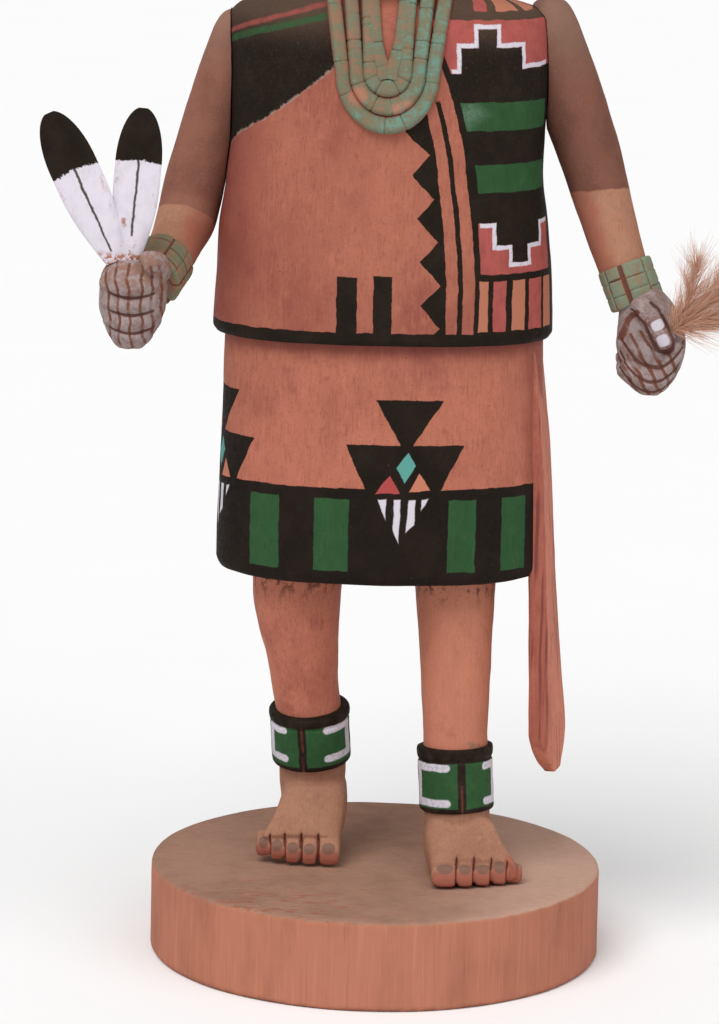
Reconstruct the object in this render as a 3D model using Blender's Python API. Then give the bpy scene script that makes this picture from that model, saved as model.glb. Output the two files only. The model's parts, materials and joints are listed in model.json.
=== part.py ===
"""Painted wooden doll of a masked dancer on a round base, as plain solids.

A round slice of cottonwood root carries a figure carved from one root: masked head, sleeveless tunic,
kilt, bare legs and feet. Both arms, the sash end at the hip, the pair of carved feathers in the right
hand and the tuft of down in the left hand are pieces of their own, glued on.

Lengths are millimetres. The figure is laid out the way a carver blocks it out, in parts of its own
height: PARTS_HIGH parts from the soles to the crown, so a part is a millimetre at the real size. Its x
runs to the figure's left, -y is the way it faces, and heights start at the soles.
"""

import math

import bmesh
import bpy
from mathutils import Matrix, Vector

MM = 0.001

# Base
BASE_DIAMETER = 110.0
BASE_THICKNESS = 22.0
BASE_EDGE_ROUND = 0.9
BASE_SIDES = 56

# Figure
FIGURE_HEIGHT = 266.0
FIGURE_OFFSET_X = -1.3
GLUE_GAP = 0.3

# Sash end let into the kilt's side
SASH_LENGTH = 107.0
SASH_WIDTH_TOP = 19.0
SASH_WIDTH_FOOT = 25.0
SASH_THICKNESS_TOP = 3.8
SASH_THICKNESS_FOOT = 5.5
SASH_TOP_HEIGHT = 130.9
SASH_SEAT_DEPTH = 8.0
# Down the board from its top: share of its length, how far out its outer face is, its turn in degrees
# and how much of its width is trimmed away for the rounded foot
SASH_ROWS = (
    (0.0, 37.5, 6.3, 0.0),
    (0.27, 40.6, 7.0, 0.0),
    (0.56, 42.6, 8.0, 0.0),
    (0.80, 44.3, 11.0, 0.0),
    (0.89, 45.0, 12.5, 0.02),
    (0.94, 45.3, 13.0, 0.14),
    (0.98, 45.5, 13.0, 0.38),
    (1.0, 45.5, 13.0, 0.68),
)

# Carved feathers in the right hand
FEATHER_LENGTH = 38.0
FEATHER_HALF_WIDTH = 5.7
FEATHER_THICKNESS = 2.0
FEATHER_STEM_LENGTH = 5.0
LEFT_FEATHER_LEAN = 25.0
RIGHT_FEATHER_LEAN = 4.5
RIGHT_FEATHER_SIZE = 0.95

# Tuft of down in the left hand
DOWN_LENGTH = 27.0
DOWN_HALF_WIDTH = 11.5
DOWN_HALF_THICKNESS = 7.0
QUILL_RADIUS = 0.7
QUILL_LENGTH = 4.0

PARTS_HIGH = 266.0
PART = FIGURE_HEIGHT / PARTS_HIGH
FRONT = Vector((0, -1, 0))
UP = Vector((0, 0, 1))

TAN = (0.45, 0.163, 0.107)
SKIN_BROWN = (0.22, 0.1, 0.068)
PALE_WOOD = (0.40, 0.19, 0.125)
WHITE_PAINT = (0.68, 0.64, 0.69)
DOWN_BROWN = (0.34, 0.19, 0.13)


# The tunic and the kilt: height, half width, half depth and sideways centre, with the outline's squareness
BODY_SIDES = 36
TUNIC_POWER = 2.5
TUNIC = (
    (131.7, 40.0, 25.4, 0.2),
    (132.9, 40.7, 26.1, 0.2),
    (146.0, 40.1, 26.0, 0.2),
    (157.0, 39.4, 25.6, -0.1),
    (169.0, 37.8, 25.2, -0.1),
    (178.0, 37.4, 25.0, 0.4),
    (194.0, 37.8, 24.0, 0.5),
    (202.5, 38.0, 22.2, 0.2),
    (207.2, 37.6, 20.2, 0.1),
    (209.4, 35.5, 18.4, 0.1),
    (211.4, 29.0, 16.6, 0.1),
    (214.2, 20.0, 14.8, 0.1),
    (219.0, 14.5, 13.5, 0.1),
)
KILT_POWER = 2.4
KILT = (
    (73.3, 36.3, 21.8, 0.6),
    (74.1, 38.7, 23.2, 0.6),
    (76.3, 39.6, 24.0, 0.6),
    (95.0, 39.2, 23.8, 0.6),
    (112.0, 38.6, 23.6, 0.6),
    (124.0, 38.4, 23.4, 0.6),
    (134.0, 38.2, 23.2, 0.6),
)

# Legs: height, sideways centre, forward centre, half width, half depth
RIGHT_LEG = (
    (13.5, -14.7, 7.0, 7.6, 7.2),
    (21.0, -14.7, 6.2, 8.2, 7.8),
    (28.0, -15.0, 5.2, 8.1, 8.0),
    (36.0, -15.8, 4.2, 8.0, 8.1),
    (44.0, -17.0, 2.8, 8.2, 8.5),
    (53.0, -17.8, 1.2, 8.9, 9.3),
    (60.0, -18.7, 0.2, 10.0, 10.2),
    (68.0, -19.2, 0.0, 10.8, 10.8),
    (80.0, -19.2, 0.0, 11.0, 11.0),
)
LEFT_LEG = (
    (13.0, 20.9, -7.2, 8.0, 8.0),
    (24.0, 20.5, -6.6, 7.7, 7.9),
    (33.0, 20.1, -6.0, 7.8, 8.1),
    (46.0, 19.8, -4.8, 8.4, 9.0),
    (58.0, 19.5, -3.8, 9.0, 9.8),
    (71.0, 19.1, -3.0, 9.8, 10.3),
    (80.0, 19.0, -3.0, 10.0, 10.4),
)

# Ankle bands: foot centre and top centre of each, and how far the band stands out
RIGHT_BAND_RADIUS = 9.7
LEFT_BAND_RADIUS = 9.1
BAND_LIP = 0.55
RIGHT_BAND = ((-14.9, 5.9, 23.4), (-15.8, 3.6, 37.4))
LEFT_BAND = ((20.8, -6.9, 16.0), (20.0, -5.9, 31.0))

# Foot, laid out flat with its ankle at the origin and its toes towards -y:
# forward distance, half width, sideways shift away from the body's middle, top height
FOOT = (
    (8.6, 5.6, 0.0, 7.0),
    (7.4, 7.4, 0.0, 11.0),
    (2.0, 8.3, 0.0, 15.0),
    (-5.0, 8.6, 0.5, 15.0),
    (-8.6, 9.1, 1.6, 11.5),
    (-11.8, 9.9, 3.0, 8.2),
    (-13.4, 10.2, 3.6, 6.4),
)
FOOT_LIFT_RIGHT = 22.0
TOE_TIP_FORWARD = 17.4
# Toes from the big toe outwards: sideways place, half width, tip's forward distance, height
TOES = (
    (-3.5, 3.15, -17.9, 5.2),
    (1.9, 2.35, -17.7, 4.9),
    (6.2, 2.15, -17.0, 4.7),
    (10.0, 1.95, -15.8, 4.5),
    (13.2, 1.7, -14.2, 4.3),
)
TOE_ROOT_FORWARD = -9.0

# Arms: sideways, forward, height, half width, half depth
RIGHT_ARM = (
    (-34.0, 0.5, 207.6, 2.2, 3.5),
    (-34.3, 0.6, 206.2, 4.2, 6.8),
    (-34.8, 0.8, 202.6, 5.8, 8.2),
    (-36.6, 1.0, 196.0, 6.6, 8.5),
    (-38.9, 1.2, 188.0, 7.0, 8.5),
    (-42.8, 1.8, 175.0, 7.2, 8.1),
    (-46.1, 1.6, 163.5, 7.1, 7.7),
    (-47.5, -1.5, 157.2, 7.0, 7.3),
    (-49.0, -7.0, 153.7, 6.4, 6.4),
    (-51.0, -15.0, 149.9, 6.0, 6.0),
    (-53.6, -23.0, 146.4, 5.6, 5.8),
)
LEFT_ARM = (
    (36.2, 0.5, 211.6, 2.0, 3.5),
    (37.2, 0.6, 209.2, 5.4, 6.8),
    (38.3, 0.7, 204.0, 7.2, 8.2),
    (43.0, 1.0, 190.0, 7.9, 8.6),
    (48.6, 1.0, 175.0, 7.4, 8.0),
    (52.7, -0.6, 162.0, 6.7, 7.0),
    (56.7, -3.0, 150.0, 6.0, 6.2),
    (60.0, -5.0, 141.5, 5.6, 5.6),
)

# Bracelets: the two ends of the wrist stretch each one covers, and its half width and depth
RIGHT_BRACELET = ((-51.0, -14.9, 149.9), (-54.1, -23.6, 145.8), 6.6, 7.1)
LEFT_BRACELET = ((57.3, -3.6, 149.4), (61.0, -5.4, 139.8), 6.5, 6.7)

# Fists: sideways, forward, height, half width, half depth
RIGHT_FIST = (
    (-58.8, -31.5, 130.0, 2.6, 2.6),
    (-58.8, -31.3, 131.6, 4.6, 4.6),
    (-58.7, -31.0, 135.6, 6.6, 6.2),
    (-58.4, -30.6, 141.0, 7.9, 6.9),
    (-58.2, -30.2, 146.0, 8.0, 7.0),
    (-57.8, -29.6, 150.0, 7.2, 6.4),
    (-57.4, -29.2, 152.0, 4.6, 4.4),
)
LEFT_FIST = (
    (63.8, -8.2, 118.8, 2.4, 2.8),
    (63.9, -8.2, 120.3, 4.4, 4.8),
    (64.1, -8.0, 125.0, 7.2, 6.6),
    (64.3, -7.6, 131.0, 8.4, 7.2),
    (63.5, -7.0, 136.0, 7.6, 7.0),
    (61.8, -6.2, 140.6, 5.9, 6.0),
    (60.8, -5.6, 142.6, 4.6, 4.6),
)
FINGERS = 4

# Necklace: round strands side by side on the chest, straight above the bend and half an ellipse below it
STRANDS = 3
STRAND_RADIUS = 1.75
STRAND_PITCH = 3.35
STRAND_DROP = 4.3
NECKLACE_HALF_WIDTH = 10.7
NECKLACE_FLARE = 2.6
NECKLACE_TOP = 214.0
NECKLACE_BEND = 196.5
NECKLACE_FOOT = 183.8
BEND_STEPS = 12

# Head: the helmet mask, the cut hair over its brow and the hair down its back. Rows as above, and the
# hair's rows end with how far back they sit
HEAD_POWER = 2.15
HEAD_SIDES = 28
MASK = (
    (212.4, 14.0, 13.5, 0.2),
    (215.6, 19.4, 18.6, 0.2),
    (216.6, 20.4, 19.8, 0.2),
    (224.0, 21.3, 20.9, 0.2),
    (238.0, 21.7, 21.3, 0.2),
    (249.0, 20.8, 20.3, 0.2),
    (256.0, 17.6, 17.1, 0.2),
    (261.0, 12.4, 12.0, 0.2),
    (263.6, 6.0, 5.8, 0.2),
)
FRINGE_HEIGHT = 244.5
HAIR_CAP = (
    (FRINGE_HEIGHT, 22.6, 22.2, 0.2),
    (250.0, 22.2, 21.8, 0.2),
    (256.6, 19.6, 19.2, 0.2),
    (262.0, 14.6, 14.2, 0.2),
    (265.0, 8.4, 8.2, 0.2),
    (PARTS_HIGH, 3.0, 3.0, 0.2),
)
HAIR_POWER = 2.5
HAIR_SIDES = 24
HAIR_FALL = (
    (187.0, 12.6, 3.0, 0.2, 22.6),
    (188.2, 14.8, 4.4, 0.2, 22.3),
    (200.0, 18.0, 6.2, 0.2, 20.4),
    (208.0, 20.4, 9.6, 0.2, 16.2),
    (212.5, 22.4, 13.6, 0.2, 11.0),
    (226.0, 24.0, 16.0, 0.2, 8.4),
    (246.0, 23.8, 16.4, 0.2, 6.8),
    (255.0, 19.8, 14.0, 0.2, 5.6),
)


def place(*parts):
    """A point laid out in parts of the figure, in metres."""
    return Vector(parts) * PART * MM


def superellipse(angle, half_x, half_y, power):
    """A point of a rounded-square outline, from a plain ellipse at power 2 upwards."""
    across = math.cos(angle)
    along = math.sin(angle)
    x = math.copysign(abs(across) ** (2 / power), across)
    y = math.copysign(abs(along) ** (2 / power), along)
    return half_x * x, half_y * y


def ring(bm, centre, half_x, half_y, sides, power=2.0, turn=None):
    """One closed outline in metres, and its edges."""
    made = bmesh.ops.create_circle(bm, segments=sides, radius=1.0)
    for vert in made["verts"]:
        angle = math.atan2(vert.co.y, vert.co.x)
        vert.co.x, vert.co.y = superellipse(angle, half_x, half_y, power)
    matrix = Matrix.Translation(centre) @ (turn or Matrix.Identity(4))
    bmesh.ops.transform(bm, matrix=matrix, verts=made["verts"])
    return list({edge for vert in made["verts"] for edge in vert.link_edges})


def skin(bm, rings):
    """Joins a row of outlines into one closed skin."""
    for first, second in zip(rings, rings[1:]):
        bmesh.ops.bridge_loops(bm, edges=first + second)
    for end in (rings[0], rings[-1]):
        bmesh.ops.contextual_create(bm, geom=end)
    bmesh.ops.recalc_face_normals(bm, faces=bm.faces)


def paint(name, colour, roughness):
    """A plain matt paint or bare wood."""
    material = bpy.data.materials.new(name)
    material.use_nodes = True
    shader = material.node_tree.nodes["Principled BSDF"]
    shader.inputs["Base Color"].default_value = (*colour, 1)
    shader.inputs["Roughness"].default_value = roughness
    shader.inputs["Metallic"].default_value = 0.0
    return material


def finished(name, bm, material, parent, helper=False):
    """Puts a closed skin in the scene. A helper only feeds a Boolean."""
    mesh = bpy.data.meshes.new(name)
    bm.to_mesh(mesh)
    bm.free()
    mesh.shade_smooth()
    mesh.set_sharp_from_angle(angle=math.radians(40))
    made = bpy.data.objects.new(name, mesh)
    made.data.materials.append(material)
    made.parent = parent
    bpy.context.scene.collection.objects.link(made)
    if helper:
        made.hide_render = True
        made.display_type = "WIRE"
    return made


def boolean(target, other, operation):
    modifier = target.modifiers.new(other.name, "BOOLEAN")
    modifier.operation = operation
    modifier.solver = "EXACT"
    modifier.object = other


def joined(name, shapes, material, parent, helper=False):
    """One carved piece from overlapping shapes. Each shape is (label, bmesh)."""
    body = finished(name, shapes[0][1], material, parent, helper)
    for label, bm in shapes[1:]:
        boolean(body, finished(f"{name}.{label}", bm, material, parent, helper=True), "UNION")
    return body


def stacked(rows, sides, power, grow=0.0):
    """A form from level outlines: rows of height, half width, half depth, sideways centre and, if given,
    how far back the outline sits."""
    bm = bmesh.new()
    rings = []
    for height, half_x, half_y, middle, *back in rows:
        centre = place(middle, back[0] if back else 0, height)
        rings.append(ring(bm, centre, half_x * PART * MM + grow, half_y * PART * MM + grow, sides, power))
    skin(bm, rings)
    return bm


def limb(rows, sides, grow=0.0, start=UP):
    """A limb from outlines square to its own line: rows of sideways, forward, height, half width, half depth."""
    bm = bmesh.new()
    centres = [place(*row[:3]) for row in rows]
    rings = []
    for i, row in enumerate(rows):
        before = centres[max(i - 1, 0)]
        after = centres[min(i + 1, len(rows) - 1)]
        turn = start.rotation_difference(after - before).to_matrix().to_4x4()
        if start != UP:
            turn = turn @ UP.rotation_difference(start).to_matrix().to_4x4()
        half_x = row[3] * PART * MM + grow
        half_y = row[4] * PART * MM + grow
        rings.append(ring(bm, centres[i], half_x, half_y, sides, turn=turn))
    skin(bm, rings)
    return bm


def leg(rows, sides=16):
    return limb([(x, y, height, half_x, half_y) for height, x, y, half_x, half_y in rows], sides)


def band(foot, top, middle):
    """An ankle band: a cuff round the leg whose upper rim is rolled."""
    foot = Vector(foot)
    top = Vector(top)
    rows = []
    for share, radius in (
        (0.0, middle - BAND_LIP),
        (0.03, middle - 0.1),
        (0.80, middle),
        (0.84, middle + BAND_LIP * 0.6),
        (0.93, middle + BAND_LIP),
        (0.985, middle + BAND_LIP * 0.4),
        (1.0, middle - BAND_LIP),
    ):
        rows.append((*foot.lerp(top, share), radius, radius))
    return limb(rows, 20)


def foot_shapes(side):
    """A flat foot and its five toes as bmeshes, ankle over the origin, toes towards the front."""
    shapes = []
    bm = bmesh.new()
    rings = []
    turn = UP.rotation_difference(FRONT).to_matrix().to_4x4()
    for forward, half_x, shift, top in FOOT:
        centre = place(side * shift, forward, top / 2)
        rings.append(ring(bm, centre, half_x * PART * MM, top / 2 * PART * MM, 16, 3.2, turn))
    skin(bm, rings)
    shapes.append(("foot", bm))
    for number, (x, half, tip, height) in enumerate(TOES):
        bm = bmesh.new()
        rings = []
        length = TOE_ROOT_FORWARD - tip
        for share, plump in ((0.0, 1.0), (0.75, 0.96), (0.94, 0.72), (1.0, 0.4)):
            centre = place(side * x, TOE_ROOT_FORWARD - share * length, height / 2 * (0.41 + 0.65 * plump))
            half_height = height / 2 * plump * PART * MM
            rings.append(ring(bm, centre, half * plump * PART * MM, half_height, 8, 2.6, turn))
        skin(bm, rings)
        shapes.append((f"toe_{number}", bm))
    return shapes


def placed_foot(side, ankle_x, tip_y, lift=0.0):
    """The foot's shapes where the foot stands, its heel lifted about the toes' tips by an angle in degrees."""
    tip = place(0, -TOE_TIP_FORWARD, 0)
    matrix = Matrix.Translation(place(ankle_x, tip_y, 0))
    matrix = matrix @ Matrix.Rotation(math.radians(lift), 4, "X") @ Matrix.Translation(-tip)
    shapes = foot_shapes(side)
    for _, bm in shapes:
        bmesh.ops.transform(bm, matrix=matrix, verts=bm.verts)
    return shapes


def outline_at(rows, height):
    """Half width, half depth and centre of a stacked form at a height, read between its outlines."""
    for low, high in zip(rows, rows[1:]):
        if low[0] <= height <= high[0]:
            share = (height - low[0]) / (high[0] - low[0])
            return tuple(a + (b - a) * share for a, b in zip(low[1:4], high[1:4]))
    return rows[-1][1:4]


def chest(x, height):
    """How far forward the tunic's front lies."""
    half_x, half_y, middle = outline_at(TUNIC, height)
    share = min(abs((x - middle) / half_x), 0.999)
    return -half_y * (1 - share**TUNIC_POWER) ** (1 / TUNIC_POWER)


def bead_row(points, radius):
    """A string of beads laid on the chest along points of sideways place and height."""
    rows = []
    for x, height, plump in points:
        rows.append((x, chest(x, height) - radius * 0.25, height, radius * plump, radius * plump))
    return limb(rows, 6, start=Vector((1, 0, 0)))


def strand(number):
    """One necklace strand: up the chest on one side, round the bend and up the other."""
    half_width = NECKLACE_HALF_WIDTH - number * STRAND_PITCH
    foot = NECKLACE_FOOT + number * STRAND_DROP
    depth = NECKLACE_BEND - foot
    side = []
    for step in (1.0, 0.72, 0.36):
        flare = NECKLACE_FLARE * step * half_width / NECKLACE_HALF_WIDTH
        side.append((half_width + flare, NECKLACE_BEND + (NECKLACE_TOP - NECKLACE_BEND) * step, 1.0))
    for step in range(BEND_STEPS // 2):
        angle = math.pi / 2 * step / (BEND_STEPS // 2)
        side.append((half_width * math.cos(angle), NECKLACE_BEND - depth * math.sin(angle), 1.0))
    points = [(-x, height, plump) for x, height, plump in side] + [(0.0, foot, 1.0)] + side[::-1]
    return bead_row(points, STRAND_RADIUS)


def inner_strand():
    """The innermost strand hangs as a closed V between the others."""
    foot = NECKLACE_FOOT + STRANDS * STRAND_DROP
    rows = []
    for up, half in ((0.0, 0.5), (1.4, 1.1), (5.5, 2.3), (NECKLACE_TOP - foot, 3.0)):
        rows.append((0.0, chest(0.0, foot + up) - 0.4, foot + up, half, 1.5))
    return limb(rows, 10)


def finger(points, radius, sides=8):
    """A bent finger through three points, with rounded ends."""
    first, bend, last = (Vector(p) for p in points)
    rows = [(*first, radius * 0.5, radius * 0.5)]
    for share in (0.06, 0.28, 0.5, 0.72, 0.94):
        point = first.lerp(bend, share).lerp(bend.lerp(last, share), share)
        rows.append((*point, radius, radius))
    rows.append((*last, radius * 0.5, radius * 0.5))
    return limb(rows, sides, start=(last - first).normalized())


def right_fist():
    """A fist seen from its knuckles, the fingers one above the other and the thumb over the top."""
    shapes = [("palm", limb(RIGHT_FIST, 14))]
    for number in range(FINGERS):
        height = 147.6 - number * 4.55
        reach = (7.0, 7.3, 6.7, 5.3)[number]
        radius = (2.6, 2.7, 2.55, 2.3)[number]
        first = (-58.2 + reach, -29.5, height + 0.6)
        bend = (-58.4, -41.6, height)
        last = (-58.4 - reach, -31.0, height + 0.4)
        shapes.append((f"finger_{number}", finger((first, bend, last), radius)))
    thumb = ((-51.4, -26.0, 147.6), (-50.6, -36.6, 152.4), (-57.0, -36.6, 151.2))
    shapes.append(("thumb", finger(thumb, 2.6)))
    return shapes


def left_fist():
    """A fist seen from its thumb side, the fingers curled round under it."""
    shapes = [("palm", limb(LEFT_FIST, 14))]
    for number in range(FINGERS):
        depth = -13.6 + number * 4.3
        drop = (0.0, 1.0, 0.8, -0.6)[number]
        first = (70.2, depth, 132.6 - drop)
        bend = (66.4, depth - 0.6, 116.4 - drop)
        last = (57.2, depth, 127.4 - drop)
        shapes.append((f"finger_{number}", finger((first, bend, last), 2.6)))
    thumb = ((60.2, -11.6, 141.4), (63.6, -16.4, 138.6), (68.2, -15.8, 131.4))
    shapes.append(("thumb", finger(thumb, 2.7)))
    return shapes


def bracelet(low, high, half_x, half_y):
    """A wide cuff round a wrist."""
    low = Vector(low)
    high = Vector(high)
    rows = []
    for share, grow in ((0.0, -0.5), (0.05, 0.0), (0.95, 0.0), (1.0, -0.5)):
        rows.append((*low.lerp(high, share), half_x + grow, half_y + grow))
    return limb(rows, 20, start=(high - low).normalized() if low.z > high.z else UP)


def feather_outline(share):
    """Half width of a carved feather along its length, as a share of the widest."""
    body = 0.44 + 0.56 * math.sin(math.pi / 2 * min(share / 0.5, 1.0))
    tip = math.sqrt(max(0.0, 1 - (max(share - 0.64, 0.0) / 0.36) ** 2))
    return body * tip


def feather_blade(root, lean, size, grow=0.0):
    """One carved feather: a thin blade, thickest along its middle."""
    bm = bmesh.new()
    rings = []
    turn = Matrix.Rotation(math.radians(lean), 4, "Y")
    steps = 10
    for step in range(steps + 1):
        share = min(step / steps, 0.992)
        half = FEATHER_HALF_WIDTH * size * feather_outline(share) * MM + grow
        thick = FEATHER_THICKNESS / 2 * (1 - 0.45 * share) * MM + grow
        matrix = turn @ Matrix.Translation((0, 0, FEATHER_LENGTH * size * share * MM))
        rings.append(ring(bm, (0, 0, 0), max(half, 0.0004), thick, 10, turn=matrix))
    skin(bm, rings)
    bmesh.ops.translate(bm, vec=root, verts=bm.verts)
    return bm


def feather_stem(root, grow=0.0):
    """The peg under the two blades that goes into the fist."""
    bm = bmesh.new()
    rings = []
    for height, half in ((-FEATHER_STEM_LENGTH, 2.3), (0.7, 3.2), (3.7, 3.6)):
        centre = root + Vector((0, 0, height * MM - (grow if height < 0 else 0)))
        rings.append(ring(bm, centre, half * PART * MM + grow, FEATHER_THICKNESS * 0.55 * MM + grow, 11))
    skin(bm, rings)
    return bm


def feather_pair(root, grow=0.0):
    """The V of two blades and the peg under them."""
    left = feather_blade(root + place(-1.6, -0.4, 0), -LEFT_FEATHER_LEAN, 1.0, grow)
    right = feather_blade(root + place(1.5, 0.2, 0), RIGHT_FEATHER_LEAN, RIGHT_FEATHER_SIZE, grow)
    return [("stem", feather_stem(root, grow)), ("blade_left", left), ("blade_right", right)]


def quill(root, direction, grow=0.0):
    bm = bmesh.new()
    turn = UP.rotation_difference(direction).to_matrix().to_4x4()
    rings = []
    for share in (-1.0, 0.6):
        centre = root + direction * (share * QUILL_LENGTH * MM + (grow * share))
        rings.append(ring(bm, centre, QUILL_RADIUS * MM + grow, QUILL_RADIUS * MM + grow, 10, turn=turn))
    skin(bm, rings)
    return bm


def down_tuft(root, direction):
    """The outer shape of a fluffy tuft of down, spreading from its quill."""
    bm = bmesh.new()
    rings = []
    turn = UP.rotation_difference(direction).to_matrix().to_4x4()
    for share, spread in ((0.02, 0.1), (0.12, 0.3), (0.3, 0.68), (0.52, 0.97), (0.72, 1.0), (0.88, 0.72), (0.97, 0.3)):
        centre = root + direction * share * DOWN_LENGTH * MM
        half_x = DOWN_HALF_WIDTH * spread * MM
        half_y = DOWN_HALF_THICKNESS * spread * MM
        rings.append(ring(bm, centre, half_x, half_y, 14, turn=turn))
    skin(bm, rings)
    return bm


def sash(grow=0.0, outward=0.0, power=7.0):
    """A flat board let into the kilt's side, wider and thicker towards its foot, its foot cut round."""
    bm = bmesh.new()
    rings = []
    for share, outer_x, yaw, trim in SASH_ROWS:
        turn = Matrix.Rotation(math.radians(-yaw), 4, "Z")
        width = SASH_WIDTH_TOP + (SASH_WIDTH_FOOT - SASH_WIDTH_TOP) * share
        thickness = SASH_THICKNESS_TOP + (SASH_THICKNESS_FOOT - SASH_THICKNESS_TOP) * share
        half_y = width * (1 - trim) / 2 * MM + grow
        half_x = (thickness * (1 - 0.4 * trim) + outward) / 2 * MM + grow
        face = place(outer_x, 1.5 * (share - 1), SASH_TOP_HEIGHT) - UP * SASH_LENGTH * share * MM
        centre = face + turn @ Vector(((outward - thickness) / 2 * MM, 0, 0))
        rings.append(ring(bm, centre, half_x, half_y, 16, power, turn))
    skin(bm, rings)
    return bm


def clear_scene():
    for made in list(bpy.data.objects):
        bpy.data.objects.remove(made, do_unlink=True)


def make_base(material):
    bm = bmesh.new()
    rings = []
    radius = BASE_DIAMETER / 2
    edge = BASE_EDGE_ROUND
    for height, inset in (
        (0.0, edge),
        (edge, 0.0),
        (BASE_THICKNESS - edge, 0.0),
        (BASE_THICKNESS, edge),
    ):
        size = (radius - inset) * MM
        rings.append(ring(bm, (0, 0, height * MM), size, size, BASE_SIDES))
    skin(bm, rings)
    finished("base", bm, material, None)


def make_figure(material, root):
    shapes = [("kilt", stacked(KILT, BODY_SIDES, KILT_POWER)), ("tunic", stacked(TUNIC, BODY_SIDES, TUNIC_POWER))]
    shapes += [("right_leg", leg(RIGHT_LEG)), ("left_leg", leg(LEFT_LEG))]
    shapes += [("right_band", band(*RIGHT_BAND, RIGHT_BAND_RADIUS))]
    shapes += [("left_band", band(*LEFT_BAND, LEFT_BAND_RADIUS))]
    feet = placed_foot(1, LEFT_LEG[0][1], -24.2)
    shapes += [(f"left_{label}", bm) for label, bm in feet]
    feet = placed_foot(-1, RIGHT_LEG[0][1], -5.8, FOOT_LIFT_RIGHT)
    shapes += [(f"right_{label}", bm) for label, bm in feet]
    shapes += [(f"strand_{number}", strand(number)) for number in range(STRANDS)]
    shapes += [("inner_strand", inner_strand())]
    shapes += [("mask", stacked(MASK, HEAD_SIDES, HEAD_POWER))]
    shapes += [("hair_cap", stacked(HAIR_CAP, HEAD_SIDES, HEAD_POWER))]
    shapes += [("hair_fall", stacked(HAIR_FALL, HAIR_SIDES, HAIR_POWER))]
    return joined("figure", shapes, material, root)


def main():
    clear_scene()
    wood = paint("bare_wood", PALE_WOOD, 0.85)
    tan = paint("stained_wood", TAN, 0.8)
    brown = paint("brown_paint", SKIN_BROWN, 0.85)
    white = paint("white_paint", WHITE_PAINT, 0.8)
    fluff = paint("down", DOWN_BROWN, 0.95)
    gap = GLUE_GAP * MM

    make_base(wood)

    root = bpy.data.objects.new("figure_stand", None)
    root.location = (FIGURE_OFFSET_X * MM, 0, (BASE_THICKNESS + GLUE_GAP) * MM)
    bpy.context.scene.collection.objects.link(root)

    figure = make_figure(tan, root)
    sash_seat = finished("sash_seat", sash(gap, SASH_SEAT_DEPTH, 60.0), tan, root, helper=True)
    boolean(figure, sash_seat, "DIFFERENCE")
    finished("sash", sash(), tan, root)

    torso = finished("torso_with_gap", stacked(TUNIC, BODY_SIDES, TUNIC_POWER, gap), tan, root, helper=True)

    shapes = [("arm", limb(RIGHT_ARM, 16))]
    shapes += [("bracelet", bracelet(*RIGHT_BRACELET))] + right_fist()
    right_arm = joined("right_arm", shapes, brown, root)
    boolean(right_arm, torso, "DIFFERENCE")

    shapes = [("arm", limb(LEFT_ARM, 16))]
    shapes += [("bracelet", bracelet(*LEFT_BRACELET))] + left_fist()
    left_arm = joined("left_arm", shapes, brown, root)
    boolean(left_arm, torso, "DIFFERENCE")

    feather_root = place(-60.6, -32.0, 151.6)
    joined("feathers", feather_pair(feather_root), white, root)
    seat = joined("feather_seat", feather_pair(feather_root, gap), white, root, helper=True)
    boolean(right_arm, seat, "DIFFERENCE")

    down_root = place(70.0, -12.0, 135.6)
    down_direction = Vector((0.86, -0.1, 0.46)).normalized()
    shapes = [("fluff", down_tuft(down_root, down_direction)), ("quill", quill(down_root, down_direction))]
    joined("down_tuft", shapes, fluff, root)
    quill_seat = finished("quill_seat", quill(down_root, down_direction, gap), fluff, root, helper=True)
    boolean(left_arm, quill_seat, "DIFFERENCE")


main()
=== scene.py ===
"""A painted wooden dancer doll on its round base, finished the way its carver finished it.

Sizes in the tables are millimetres on the figure: x to the figure's left, -y forward, heights from the
soles. Paint is laid out on the body's own skin: across is the way round from the middle of the front,
up is the height.
"""

import json
import math
import random

import bmesh
import bpy
import numpy as np
from bpy.props import FloatProperty, FloatVectorProperty, IntProperty, PointerProperty
from mathutils import Matrix, Vector, noise

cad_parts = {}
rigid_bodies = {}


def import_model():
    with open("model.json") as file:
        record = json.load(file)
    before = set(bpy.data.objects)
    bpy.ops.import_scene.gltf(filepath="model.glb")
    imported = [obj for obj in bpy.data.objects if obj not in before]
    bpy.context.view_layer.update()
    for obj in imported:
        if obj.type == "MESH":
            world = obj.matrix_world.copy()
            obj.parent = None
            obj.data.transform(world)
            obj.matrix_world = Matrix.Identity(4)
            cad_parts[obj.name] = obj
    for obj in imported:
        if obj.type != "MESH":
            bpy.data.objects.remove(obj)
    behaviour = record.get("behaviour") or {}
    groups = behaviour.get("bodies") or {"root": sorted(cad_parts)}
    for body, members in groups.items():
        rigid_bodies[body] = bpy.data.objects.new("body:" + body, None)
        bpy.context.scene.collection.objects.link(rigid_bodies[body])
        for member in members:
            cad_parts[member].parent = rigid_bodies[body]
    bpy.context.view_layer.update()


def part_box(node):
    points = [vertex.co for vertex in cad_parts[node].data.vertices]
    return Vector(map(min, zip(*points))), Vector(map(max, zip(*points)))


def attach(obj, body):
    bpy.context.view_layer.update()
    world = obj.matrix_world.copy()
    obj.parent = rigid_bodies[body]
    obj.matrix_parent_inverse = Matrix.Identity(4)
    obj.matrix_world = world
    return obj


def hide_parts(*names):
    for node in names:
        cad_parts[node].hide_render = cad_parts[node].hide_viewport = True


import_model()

bl_info = {
    "name": "Painted dancer doll",
    "version": (1, 0, 0),
    "blender": (4, 5, 0),
    "location": "View3D > Sidebar > Doll",
    "description": "Carves and paints a wooden dancer doll, piece by piece",
    "category": "Add Mesh",
}

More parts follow.
